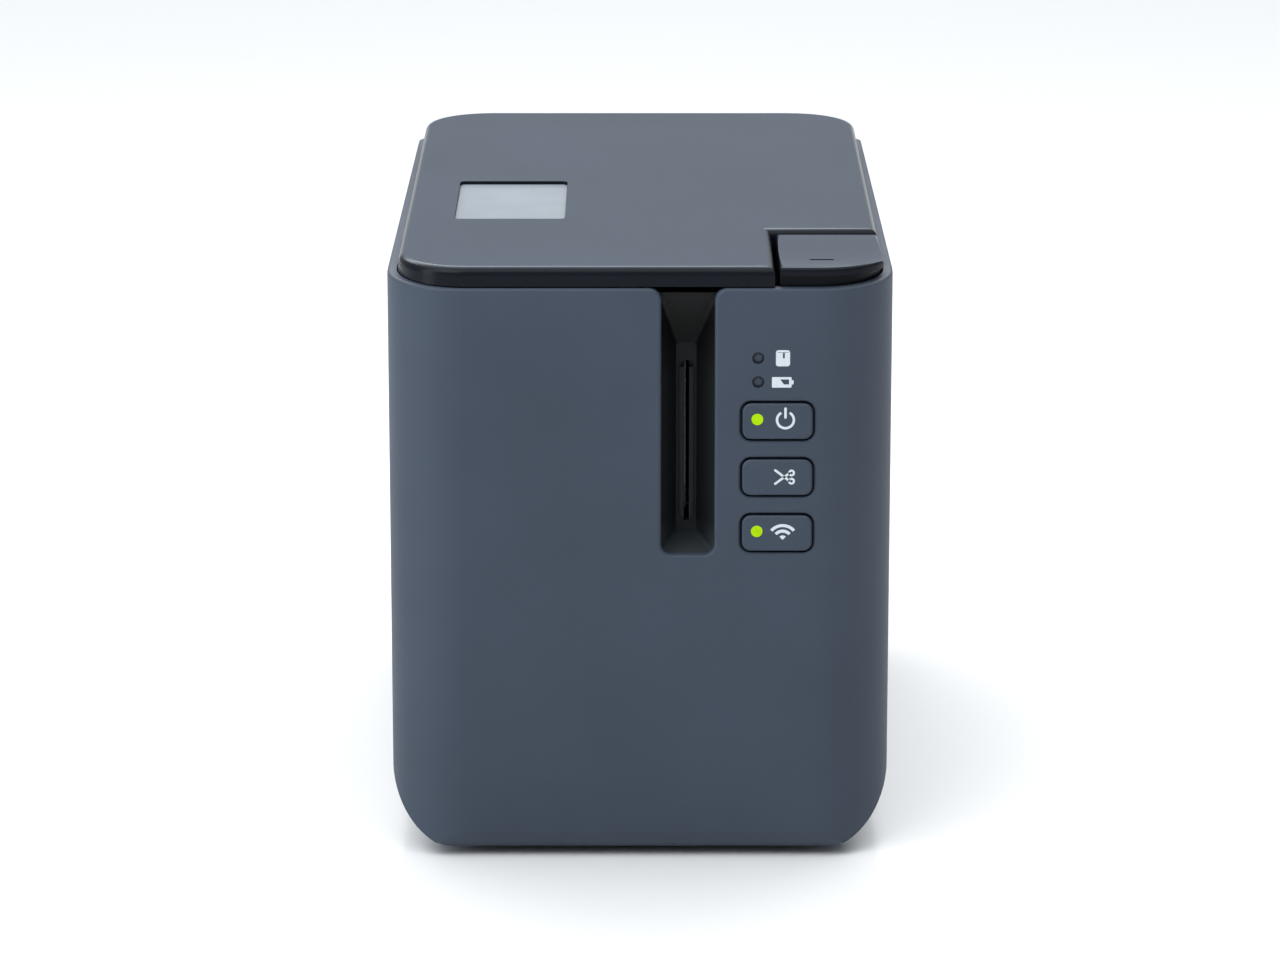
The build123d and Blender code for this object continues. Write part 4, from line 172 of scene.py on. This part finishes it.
def painted_shade_sides_plastic(name, top, side, roughness, grain, specular):
    """Moulded plastic with a paler top, and painted shade that makes its sides and underside darker."""
    material, shader, coordinates = start_material(name)
    tree = material.node_tree
    drift = noise_from(material, coordinates, DRIFT_SCALE, 3.0)
    top_colour = toned(material, drift, scaled(top, 1 - TONE_SPREAD), scaled(top, 1 + TONE_SPREAD))
    painted_shade_colour = toned(material, drift, scaled(side, 1 - TONE_SPREAD), scaled(side, 1 + TONE_SPREAD))
    facing = tree.nodes.new("ShaderNodeSeparateXYZ")
    tree.links.new(coordinates.outputs["Normal"], facing.inputs["Vector"])
    upward = tree.nodes.new("ShaderNodeMapRange")
    upward.interpolation_type = "SMOOTHSTEP"
    upward.inputs["From Min"].default_value = SIDE_FACING
    upward.inputs["From Max"].default_value = TOP_FACING
    tree.links.new(facing.outputs["Z"], upward.inputs["Value"])
    blend = tree.nodes.new("ShaderNodeMix")
    blend.data_type = "RGBA"
    tree.links.new(upward.outputs["Result"], blend.inputs[MIX_FACTOR])
    tree.links.new(painted_shade_colour, blend.inputs[MIX_FIRST])
    tree.links.new(top_colour, blend.inputs[MIX_SECOND])
    tree.links.new(blend.outputs[MIX_RESULT], shader.inputs["Base Color"])
    etching = noise_from(material, coordinates, 1 / GRAIN_SIZE, 2.0)
    vary_roughness(material, shader, etching, roughness * GLOSS_LOW, roughness * GLOSS_HIGH)
    add_bump(material, shader, etching, grain, GRAIN_STRENGTH)
    shader.inputs["Specular IOR Level"].default_value = specular
    return material


def painted_recess_shade_plastic(name, low, mid, high, places, roughness, specular):
    """Moulded plastic of a deep recess, with painted shade by height: palest at its floor, darkest under
    its roof.
    """
    material, shader, coordinates = start_material(name)
    tree = material.node_tree
    parts = tree.nodes.new("ShaderNodeSeparateXYZ")
    tree.links.new(coordinates.outputs["Object"], parts.inputs["Vector"])
    share = tree.nodes.new("ShaderNodeMapRange")
    share.inputs["From Min"].default_value = places[0]
    share.inputs["From Max"].default_value = places[-1]
    tree.links.new(parts.outputs["Z"], share.inputs["Value"])
    ramp = tree.nodes.new("ShaderNodeValToRGB")
    stops = ramp.color_ramp.elements
    stops[0].color = low
    stops[1].color = high
    for place in places[1:-1]:
        stops.new((place - places[0]) / (places[-1] - places[0])).color = mid
    tree.links.new(share.outputs["Result"], ramp.inputs["Fac"])
    tree.links.new(ramp.outputs["Color"], shader.inputs["Base Color"])
    etching = noise_from(material, coordinates, 1 / GRAIN_SIZE, 2.0)
    vary_roughness(material, shader, etching, roughness * GLOSS_LOW, roughness * GLOSS_HIGH)
    add_bump(material, shader, etching, GRAIN_DEPTH, GRAIN_STRENGTH)
    shader.inputs["Specular IOR Level"].default_value = specular
    return material


def rubber(name, colour):
    """Matt rubber with fine pores."""
    material, shader, coordinates = start_material(name)
    drift = noise_from(material, coordinates, 90.0, 4.0)
    vary_colour(material, shader, drift, scaled(colour, 0.8), scaled(colour, 1.25))
    pores = noise_from(material, coordinates, 2600.0, 3.0)
    vary_roughness(material, shader, pores, 0.75, 0.95)
    add_bump(material, shader, pores, 0.03 * MM, 0.8)
    shader.inputs["Specular IOR Level"].default_value = 0.3
    return material


def metal(name, colour, roughness, stretch=(1.0, 1.0, 30.0)):
    """Drawn or rolled metal, with fine lines along one way."""
    material, shader, coordinates = start_material(name)
    lines = noise_from(material, coordinates, 900.0, 4.0, stretch)
    vary_colour(material, shader, lines, scaled(colour, 0.88), scaled(colour, 1.08))
    vary_roughness(material, shader, lines, roughness * 0.8, roughness * 1.25)
    add_bump(material, shader, lines, 0.004 * MM, 0.5)
    shader.inputs["Metallic"].default_value = 1.0
    return material


def clear_plastic(name, colour, roughness):
    """Clear moulded pane with faint flow marks."""
    material, shader, coordinates = start_material(name)
    flow = noise_from(material, coordinates, 45.0, 2.0)
    vary_colour(material, shader, flow, scaled(colour, 0.97), scaled(colour, 1.03))
    vary_roughness(material, shader, flow, roughness * 0.8, roughness * 1.2)
    add_bump(material, shader, flow, 0.008 * MM, 0.2)
    shader.inputs["Transmission Weight"].default_value = 0.3
    shader.inputs["IOR"].default_value = 1.49
    return material


def lit_lens(name, colour, strength):
    """Lens of a light that is on: a deep tint with an even glow."""
    material, shader, coordinates = start_material(name)
    haze = noise_from(material, coordinates, HAZE_SCALE, 2.0)
    vary_colour(material, shader, haze, scaled(colour, 0.3), scaled(colour, 0.4))
    vary_roughness(material, shader, haze, 0.2, 0.35)
    shader.inputs["Emission Color"].default_value = colour
    shader.inputs["Emission Strength"].default_value = strength
    shader.inputs["Specular IOR Level"].default_value = 0.1
    return material


def lens_with_painted_rim_shade(name, colour, centres, radius):
    """Unlit lens at the bottom of its hole, with painted shade darkening it towards its rim."""
    material, shader, coordinates = start_material(name)
    tree = material.node_tree
    nearest = None
    for centre in centres:
        away = tree.nodes.new("ShaderNodeVectorMath")
        away.operation = "DISTANCE"
        away.inputs[1].default_value = centre
        tree.links.new(coordinates.outputs["Object"], away.inputs[0])
        if nearest is None:
            nearest = away.outputs["Value"]
            continue
        least = tree.nodes.new("ShaderNodeMath")
        least.operation = "MINIMUM"
        tree.links.new(nearest, least.inputs[0])
        tree.links.new(away.outputs["Value"], least.inputs[1])
        nearest = least.outputs["Value"]
    share = tree.nodes.new("ShaderNodeMath")
    share.operation = "DIVIDE"
    share.inputs[1].default_value = radius
    tree.links.new(nearest, share.inputs[0])
    ramp = tree.nodes.new("ShaderNodeValToRGB")
    ramp.color_ramp.elements[0].position = RIM_FROM
    ramp.color_ramp.elements[0].color = colour
    ramp.color_ramp.elements[1].position = RIM_TO
    ramp.color_ramp.elements[1].color = scaled(colour, RIM_SHADE_TONE)
    tree.links.new(share.outputs["Value"], ramp.inputs["Fac"])
    tree.links.new(ramp.outputs["Color"], shader.inputs["Base Color"])
    haze = noise_from(material, coordinates, HAZE_SCALE, 2.0)
    vary_roughness(material, shader, haze, 0.35, 0.5)
    shader.inputs["Specular IOR Level"].default_value = 0.2
    return material


def circuit_board(name, mask, copper):
    """Solder mask over a faint pattern of tracks."""
    material, shader, coordinates = start_material(name)
    tree = material.node_tree
    tracks = tree.nodes.new("ShaderNodeTexBrick")
    tracks.inputs["Scale"].default_value = 260.0
    tracks.inputs["Mortar Size"].default_value = 0.035
    tracks.inputs["Color1"].default_value = mask
    tracks.inputs["Color2"].default_value = scaled(mask, 0.85)
    tracks.inputs["Mortar"].default_value = copper
    tree.links.new(coordinates.outputs["Object"], tracks.inputs["Vector"])
    tree.links.new(tracks.outputs["Color"], shader.inputs["Base Color"])
    grain = noise_from(material, coordinates, 1500.0, 2.0)
    vary_roughness(material, shader, grain, 0.3, 0.45)
    add_bump(material, shader, grain, 0.01 * MM, 0.4)
    return material


def wound_film(name, colour, pitch):
    """Wound film: fine rings about the frame's upright axis."""
    material, shader, coordinates = start_material(name)
    tree = material.node_tree
    layers = tree.nodes.new("ShaderNodeTexWave")
    layers.wave_type = "RINGS"
    layers.rings_direction = "Z"
    layers.inputs["Scale"].default_value = 1 / pitch
    layers.inputs["Distortion"].default_value = 0.6
    tree.links.new(coordinates.outputs["Object"], layers.inputs["Vector"])
    vary_colour(material, shader, layers, scaled(colour, 0.9), scaled(colour, 1.05))
    vary_roughness(material, shader, layers, 0.3, 0.45)
    return material


SLATE = linear(56, 65, 78)
LID_SLATE = linear(48, 57, 70)
# Painted shade: the lid's sides and underside are coloured darker than its top
LID_PAINTED_SHADE = linear(18, 22, 28)
BLACK = linear(24, 25, 28)
PAINT_WHITE = linear(197, 205, 213)

slate_front = moulded_plastic("slate_front", SLATE, 0.53, specular=0.22)
slate_case = moulded_plastic("slate_case", SLATE, 0.55, specular=0.2)
lid_plastic = painted_shade_sides_plastic("lid_plastic", LID_SLATE, LID_PAINTED_SHADE, 0.24, 0.004 * MM, 0.1)
black_plastic = moulded_plastic("black_plastic", BLACK, 0.45)
# Painted shade: the exit chute is coloured darker towards its top, for the shade in the deep slot
chute_low, chute_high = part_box("exit_chute")
CHUTE_PLACES = (chute_low.z + 3 * MM, chute_low.z + 9 * MM, chute_high.z - 22 * MM, chute_high.z - 8 * MM)
black_chute = painted_recess_shade_plastic(
    "black_chute", linear(46, 51, 55), linear(25, 27, 29), linear(8, 9, 10), CHUTE_PLACES, 0.5, 0.2,
)
window_pane = clear_plastic("window_pane", linear(147, 156, 165), 0.2)
green_light = lit_lens("green_light", linear(174, 221, 2), 0.6)

status_low, status_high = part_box("status_lenses")
LENS_R = (status_high.x - status_low.x) / 2
LENS_X = (status_low.x + status_high.x) / 2
lens_centres = [(LENS_X, status_low.y, z) for z in (status_low.z + LENS_R, status_high.z - LENS_R)]
# Painted shade: the status lenses are coloured darker towards their rims
dark_lens = lens_with_painted_rim_shade("dark_lens", linear(58, 67, 80), lens_centres, LENS_R)
black_rubber = rubber("black_rubber", linear(30, 30, 32))
steel = metal("steel", linear(190, 192, 196), 0.3)
blade_steel = metal("blade_steel", linear(205, 207, 210), 0.18, (30.0, 1.0, 1.0))
aluminium = metal("aluminium", linear(214, 216, 220), 0.35)
ceramic = moulded_plastic("ceramic", linear(150, 112, 86), 0.25, specular=0.6)
acetal = moulded_plastic("acetal", linear(226, 226, 218), 0.42)
board = circuit_board("board", linear(26, 92, 52), linear(60, 128, 78))
switch_plastic = moulded_plastic("switch_plastic", linear(32, 32, 34), 0.4)
socket_metal = metal("socket_metal", linear(196, 198, 202), 0.25)
cassette_plastic = moulded_plastic("cassette_plastic", linear(132, 135, 136), 0.5)
tape_film = wound_film("tape_film", linear(236, 236, 232), 0.4 * MM)
ribbon_film = wound_film("ribbon_film", linear(38, 38, 42), 0.3 * MM)
mark_paint = moulded_plastic("mark_paint", PAINT_WHITE, 0.5, grain=0.003 * MM, tone=0.02)

FINISHES = {
    slate_front: ("front_shell", "power_button", "feed_cut_button", "wireless_button"),
    slate_case: ("rear_case", "base_plate"),
    lid_plastic: ("cover_shell", "release_button"),
    window_pane: ("cover_window",),
    black_chute: ("exit_chute",),
    black_plastic: ("main_chassis", "latch_slider", "roller_holder"),
    green_light: ("power_led_lens", "wireless_led_lens"),
    dark_lens: ("status_lenses",),
    black_rubber: ("rubber_feet", "platen_roller", "tape_feed_roller"),
    steel: (
        "base_screws", "chassis_screws", "cover_hinge_pins", "holder_pivot_pin", "platen_shaft",
        "tape_feed_shaft", "cutter_pivot_pin", "cutter_gear_pin", "cutter_frame", "feed_motor",
        "cutter_motor",
    ),
    blade_steel: ("cutter_fixed_blade", "cutter_moving_blade"),
    aluminium: ("head_heat_sink",),
    ceramic: ("print_head",),
    acetal: (
        "idler_gear", "platen_gear", "tape_feed_gear", "holder_gear", "motor_pinion",
        "ribbon_spindle", "cutter_gear", "cutter_pinion",
    ),
    board: ("panel_pcb", "main_pcb"),
    switch_plastic: (
        "panel_switches", "power_switch_plunger", "feed_cut_switch_plunger", "wireless_switch_plunger",
        "dc_jack",
    ),
    socket_metal: ("usb_port",),
    cassette_plastic: ("cassette_lower_case", "cassette_upper_case"),
    tape_film: ("label_tape", "label_tape_roll"),
    ribbon_film: ("ribbon_supply_spool", "ribbon_takeup_spool"),
}
for finish, names in FINISHES.items():
    for name in names:
        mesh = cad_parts[name].data
        mesh.materials.clear()
        mesh.materials.append(finish)


# Printed marks, drawn in millimetres in the front view about a mark's own centre
def arc(radius, start, end):
    """Points along an arc about the origin, angles in degrees from the right."""
    first, last = math.radians(start), math.radians(end)
    count = max(2, math.ceil(abs(last - first) / ARC_STEP))
    angles = [first + (last - first) * step / count for step in range(count + 1)]
    return [(radius * math.cos(angle), radius * math.sin(angle)) for angle in angles]


def moved(points, x, z):
    return [(point[0] + x, point[1] + z) for point in points]


def band(radius, width, start, end):
    """Closed outline of a bent stroke."""
    return [*arc(radius + width / 2, start, end), *arc(radius - width / 2, end, start)]


def stroke(start, end, width):
    """Closed outline of a straight stroke with round ends."""
    way = math.degrees(math.atan2(end[1] - start[1], end[0] - start[0]))
    head = moved(arc(width / 2, way - 90, way + 90), *end)
    tail = moved(arc(width / 2, way + 90, way + 270), *start)
    return head + tail


def rounded_box(width, height, radius):
    """Closed outline of a box with round corners about the origin."""
    x, z = width / 2 - radius, height / 2 - radius
    corners = ((x, z, 0), (-x, z, 90), (-x, -z, 180), (x, -z, 270))
    outline = []
    for corner_x, corner_z, start in corners:
        outline.extend(moved(arc(radius, start, start + 90), corner_x, corner_z))
    return outline


def printed_mark(name, shapes, centre, face_y, body):
    """Flat printed mark on a front face: each shape is an outline followed by its holes."""
    mesh = bpy.data.meshes.new(name)
    sheet = bmesh.new()
    for loops in shapes:
        placed = [
            [Vector(((centre[0] + x) * MM, face_y - PAINT_PROUD, (centre[1] + z) * MM)) for x, z in loop]
            for loop in loops
        ]
        corners = [sheet.verts.new(point) for loop in placed for point in loop]
        for triangle in tessellate_polygon(placed):
            sheet.faces.new([corners[index] for index in triangle])
    bmesh.ops.recalc_face_normals(sheet, faces=sheet.faces)
    if sum(face.normal.y for face in sheet.faces) > 0:
        bmesh.ops.reverse_faces(sheet, faces=sheet.faces)
    sheet.to_mesh(mesh)
    sheet.free()
    mesh.materials.append(mark_paint)
    mark = bpy.data.objects.new(name, mesh)
    bpy.context.scene.collection.objects.link(mark)
    thickness = mark.modifiers.new("thickness", "SOLIDIFY")
    thickness.thickness = PAINT_T
    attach(mark, body)
    return mark


power_low, power_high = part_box("power_button")
cut_low, cut_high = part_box("feed_cut_button")
wireless_low, wireless_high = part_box("wireless_button")
BUTTON_FACE_Y = power_low.y
FRONT_FACE_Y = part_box("front_shell")[0].y
BUTTON_MID_X = (power_low.x + power_high.x) / 2 / MM
STATUS_TOP_Z = status_high.z / MM
STATUS_LOW_Z = status_low.z / MM
STATUS_MID_X = (status_low.x + status_high.x) / 2 / MM


def button_mid_z(low, high):
    return (low.z + high.z) / 2 / MM


MARK_STROKE = 0.58
POWER_R = 1.95
power_mark = [
    [band(POWER_R, MARK_STROKE, 120, 420)],
    [stroke((0, 0.6), (0, 2.7), MARK_STROKE)],
]
printed_mark(
    "power_mark", power_mark, (BUTTON_MID_X + 1.8, button_mid_z(power_low, power_high) + 0.4),
    BUTTON_FACE_Y, "power_key",
)

BLADE_TIP = (-2.1, 1.6)
BLADE_END = (1.15, -0.88)
FINGER_AT = (1.68, 0.98)
finger_ring = [arc(0.8, 0, 352.5), arc(0.32, 0, 352.5)]
scissors_mark = [
    [stroke(BLADE_TIP, BLADE_END, 0.55)],
    [stroke((BLADE_TIP[0], -BLADE_TIP[1]), (BLADE_END[0], -BLADE_END[1]), 0.55)],
    [moved(loop, *FINGER_AT) for loop in finger_ring],
    [moved(loop, FINGER_AT[0], -FINGER_AT[1]) for loop in finger_ring],
]
printed_mark(
    "scissors_mark", scissors_mark, (BUTTON_MID_X + 1.63, button_mid_z(cut_low, cut_high) + 0.17),
    BUTTON_FACE_Y, "feed_cut_key",
)

wireless_mark = [
    [band(3.42, 0.72, 40, 140)],
    [band(2.1, 0.72, 40, 140)],
    [[(0, 0), *arc(1.05, 45, 135)]],
]
printed_mark(
    "wireless_mark", wireless_mark, (BUTTON_MID_X + 1.34, button_mid_z(wireless_low, wireless_high) - 1.5),
    BUTTON_FACE_Y, "wireless_key",
)

CASSETTE_MARK = (3.25, 3.8)
NOTCH_W = 0.45
notch_top = CASSETTE_MARK[1] / 2 - 0.62
notch = [
    (-NOTCH_W / 2 + 0.2, notch_top), (NOTCH_W / 2 + 0.2, notch_top),
    (NOTCH_W / 2 + 0.2, notch_top - 1.3), (-NOTCH_W / 2 + 0.2, notch_top - 1.3),
]
top_line = [
    (-1.3, notch_top + 0.16), (1.3, notch_top + 0.16), (1.3, notch_top + 0.05), (-1.3, notch_top + 0.05),
]
cassette_mark = [[rounded_box(*CASSETTE_MARK, 0.6), notch, top_line]]
printed_mark(
    "cassette_mark", cassette_mark, (STATUS_MID_X + 5.7, STATUS_TOP_Z - 1.35), FRONT_FACE_Y, "case",
)

BATTERY = (4.55, 2.5)
battery_cut = [(-0.35, 0.68), (1.68, 0.68), (1.68, -0.5), (0.5, -0.5)]
battery_tip = moved(rounded_box(0.5, 1.0, 0.15), BATTERY[0] / 2 + 0.2, 0)
battery_mark = [[rounded_box(*BATTERY, 0.25), battery_cut], [battery_tip]]
printed_mark(
    "battery_mark", battery_mark, (STATUS_MID_X + 5.45, STATUS_LOW_Z + 1.3), FRONT_FACE_Y, "case",
)


# Floor, light and camera
FLOOR_HALF = 3.0
FLOOR_COLOUR = linear(246, 247, 248)
SKY_FRONT = 0.2
SKY_BACK = 0.41
SKY_HORIZON = 1.7
SKY_FRONT_Y = -0.6
SKY_BACK_Y = 0.7
HORIZON_LOW = 0.0
HORIZON_HIGH = 0.09
SKY_COLOUR = (0.92, 0.97, 1.0, 1.0)
LEFT_COLOUR = (0.85, 0.92, 1.0)
WHITE = (1.0, 1.0, 1.0)


def pale_floor():
    """Plain pale floor with a faint gloss."""
    mesh = bpy.data.meshes.new("floor")
    corners = [(-1, -1), (1, -1), (1, 1), (-1, 1)]
    mesh.from_pydata([(x * FLOOR_HALF, y * FLOOR_HALF, 0.0) for x, y in corners], [], [(0, 1, 2, 3)])
    floor = bpy.data.objects.new("floor", mesh)
    bpy.context.scene.collection.objects.link(floor)
    material, shader, coordinates = start_material("pale_floor")
    drift = noise_from(material, coordinates, 2.0, 2.0)
    vary_colour(material, shader, drift, scaled(FLOOR_COLOUR, 0.99), FLOOR_COLOUR)
    vary_roughness(material, shader, drift, 0.1, 0.13)
    shader.inputs["Coat Weight"].default_value = 1.0
    shader.inputs["Coat Roughness"].default_value = 0.08
    mesh.materials.append(material)


def area_light(name, place, target, size, power, colour=WHITE):
    """Soft rectangular light at a place, turned to a target."""
    light = bpy.data.lights.new(name, "AREA")
    light.shape = "RECTANGLE"
    light.color = colour
    light.size, light.size_y = size
    light.energy = power
    lamp = bpy.data.objects.new(name, light)
    lamp.location = place
    lamp.rotation_euler = (Vector(target) - Vector(place)).to_track_quat("-Z", "Y").to_euler()
    bpy.context.scene.collection.objects.link(lamp)


def ramp_node(tree, value, low, high, start, end):
    """Smooth step from one value, or socket, to another."""
    step = tree.nodes.new("ShaderNodeMapRange")
    step.interpolation_type = "SMOOTHSTEP"
    tree.links.new(value, step.inputs["Value"])
    step.inputs["From Min"].default_value = low
    step.inputs["From Max"].default_value = high
    for socket, setting in ((step.inputs["To Min"], start), (step.inputs["To Max"], end)):
        if isinstance(setting, float):
            socket.default_value = setting
        else:
            tree.links.new(setting, socket)
    return step.outputs["Result"]


pale_floor()
MIDDLE = (0.0, 0.0, 0.08)
area_light("top_softbox", (0.0, -0.15, 1.5), (0.0, -0.15, 0.0), (2.8, 2.4), 50.0)
area_light("rear_softbox", (0.0, 2.1, 1.8), (0.0, 1.7, 0.0), (3.6, 1.6), 95.0)
area_light("key_softbox", (-0.7, -1.0, 1.2), MIDDLE, (1.0, 1.0), 8.5)
area_light("left_strip", (-1.0, -0.5, 0.45), MIDDLE, (0.4, 0.9), 5.0, LEFT_COLOUR)
area_light("right_strip", (1.3, -0.1, 0.5), MIDDLE, (0.5, 1.2), 0.5)

# Studio: dark to the front, paler to the back and palest along the horizon there
world = bpy.data.worlds.new("studio")
world.use_nodes = True
sky_tree = world.node_tree
sky = sky_tree.nodes["Background"]
sky_way = sky_tree.nodes.new("ShaderNodeTexCoord")
sky_parts = sky_tree.nodes.new("ShaderNodeSeparateXYZ")
sky_tree.links.new(sky_way.outputs["Generated"], sky_parts.inputs["Vector"])
sky_y, sky_z = sky_parts.outputs["Y"], sky_parts.outputs["Z"]
back_strength = ramp_node(sky_tree, sky_z, HORIZON_LOW, HORIZON_HIGH, SKY_HORIZON, SKY_BACK)
sky_strength = ramp_node(sky_tree, sky_y, SKY_FRONT_Y, SKY_BACK_Y, SKY_FRONT, back_strength)
sky_tree.links.new(sky_strength, sky.inputs["Strength"])
sky.inputs["Color"].default_value = SKY_COLOUR
bpy.context.scene.world = world
bpy.context.scene.view_settings.view_transform = "Standard"

camera_data = bpy.data.cameras.new("camera")
camera_data.lens = CAMERA_LENS
camera = bpy.data.objects.new("camera", camera_data)
camera.location = CAMERA_AT
camera.rotation_euler = (math.pi / 2 - CAMERA_TILT, 0.0, 0.0)
bpy.context.scene.collection.objects.link(camera)
bpy.context.scene.camera = camera
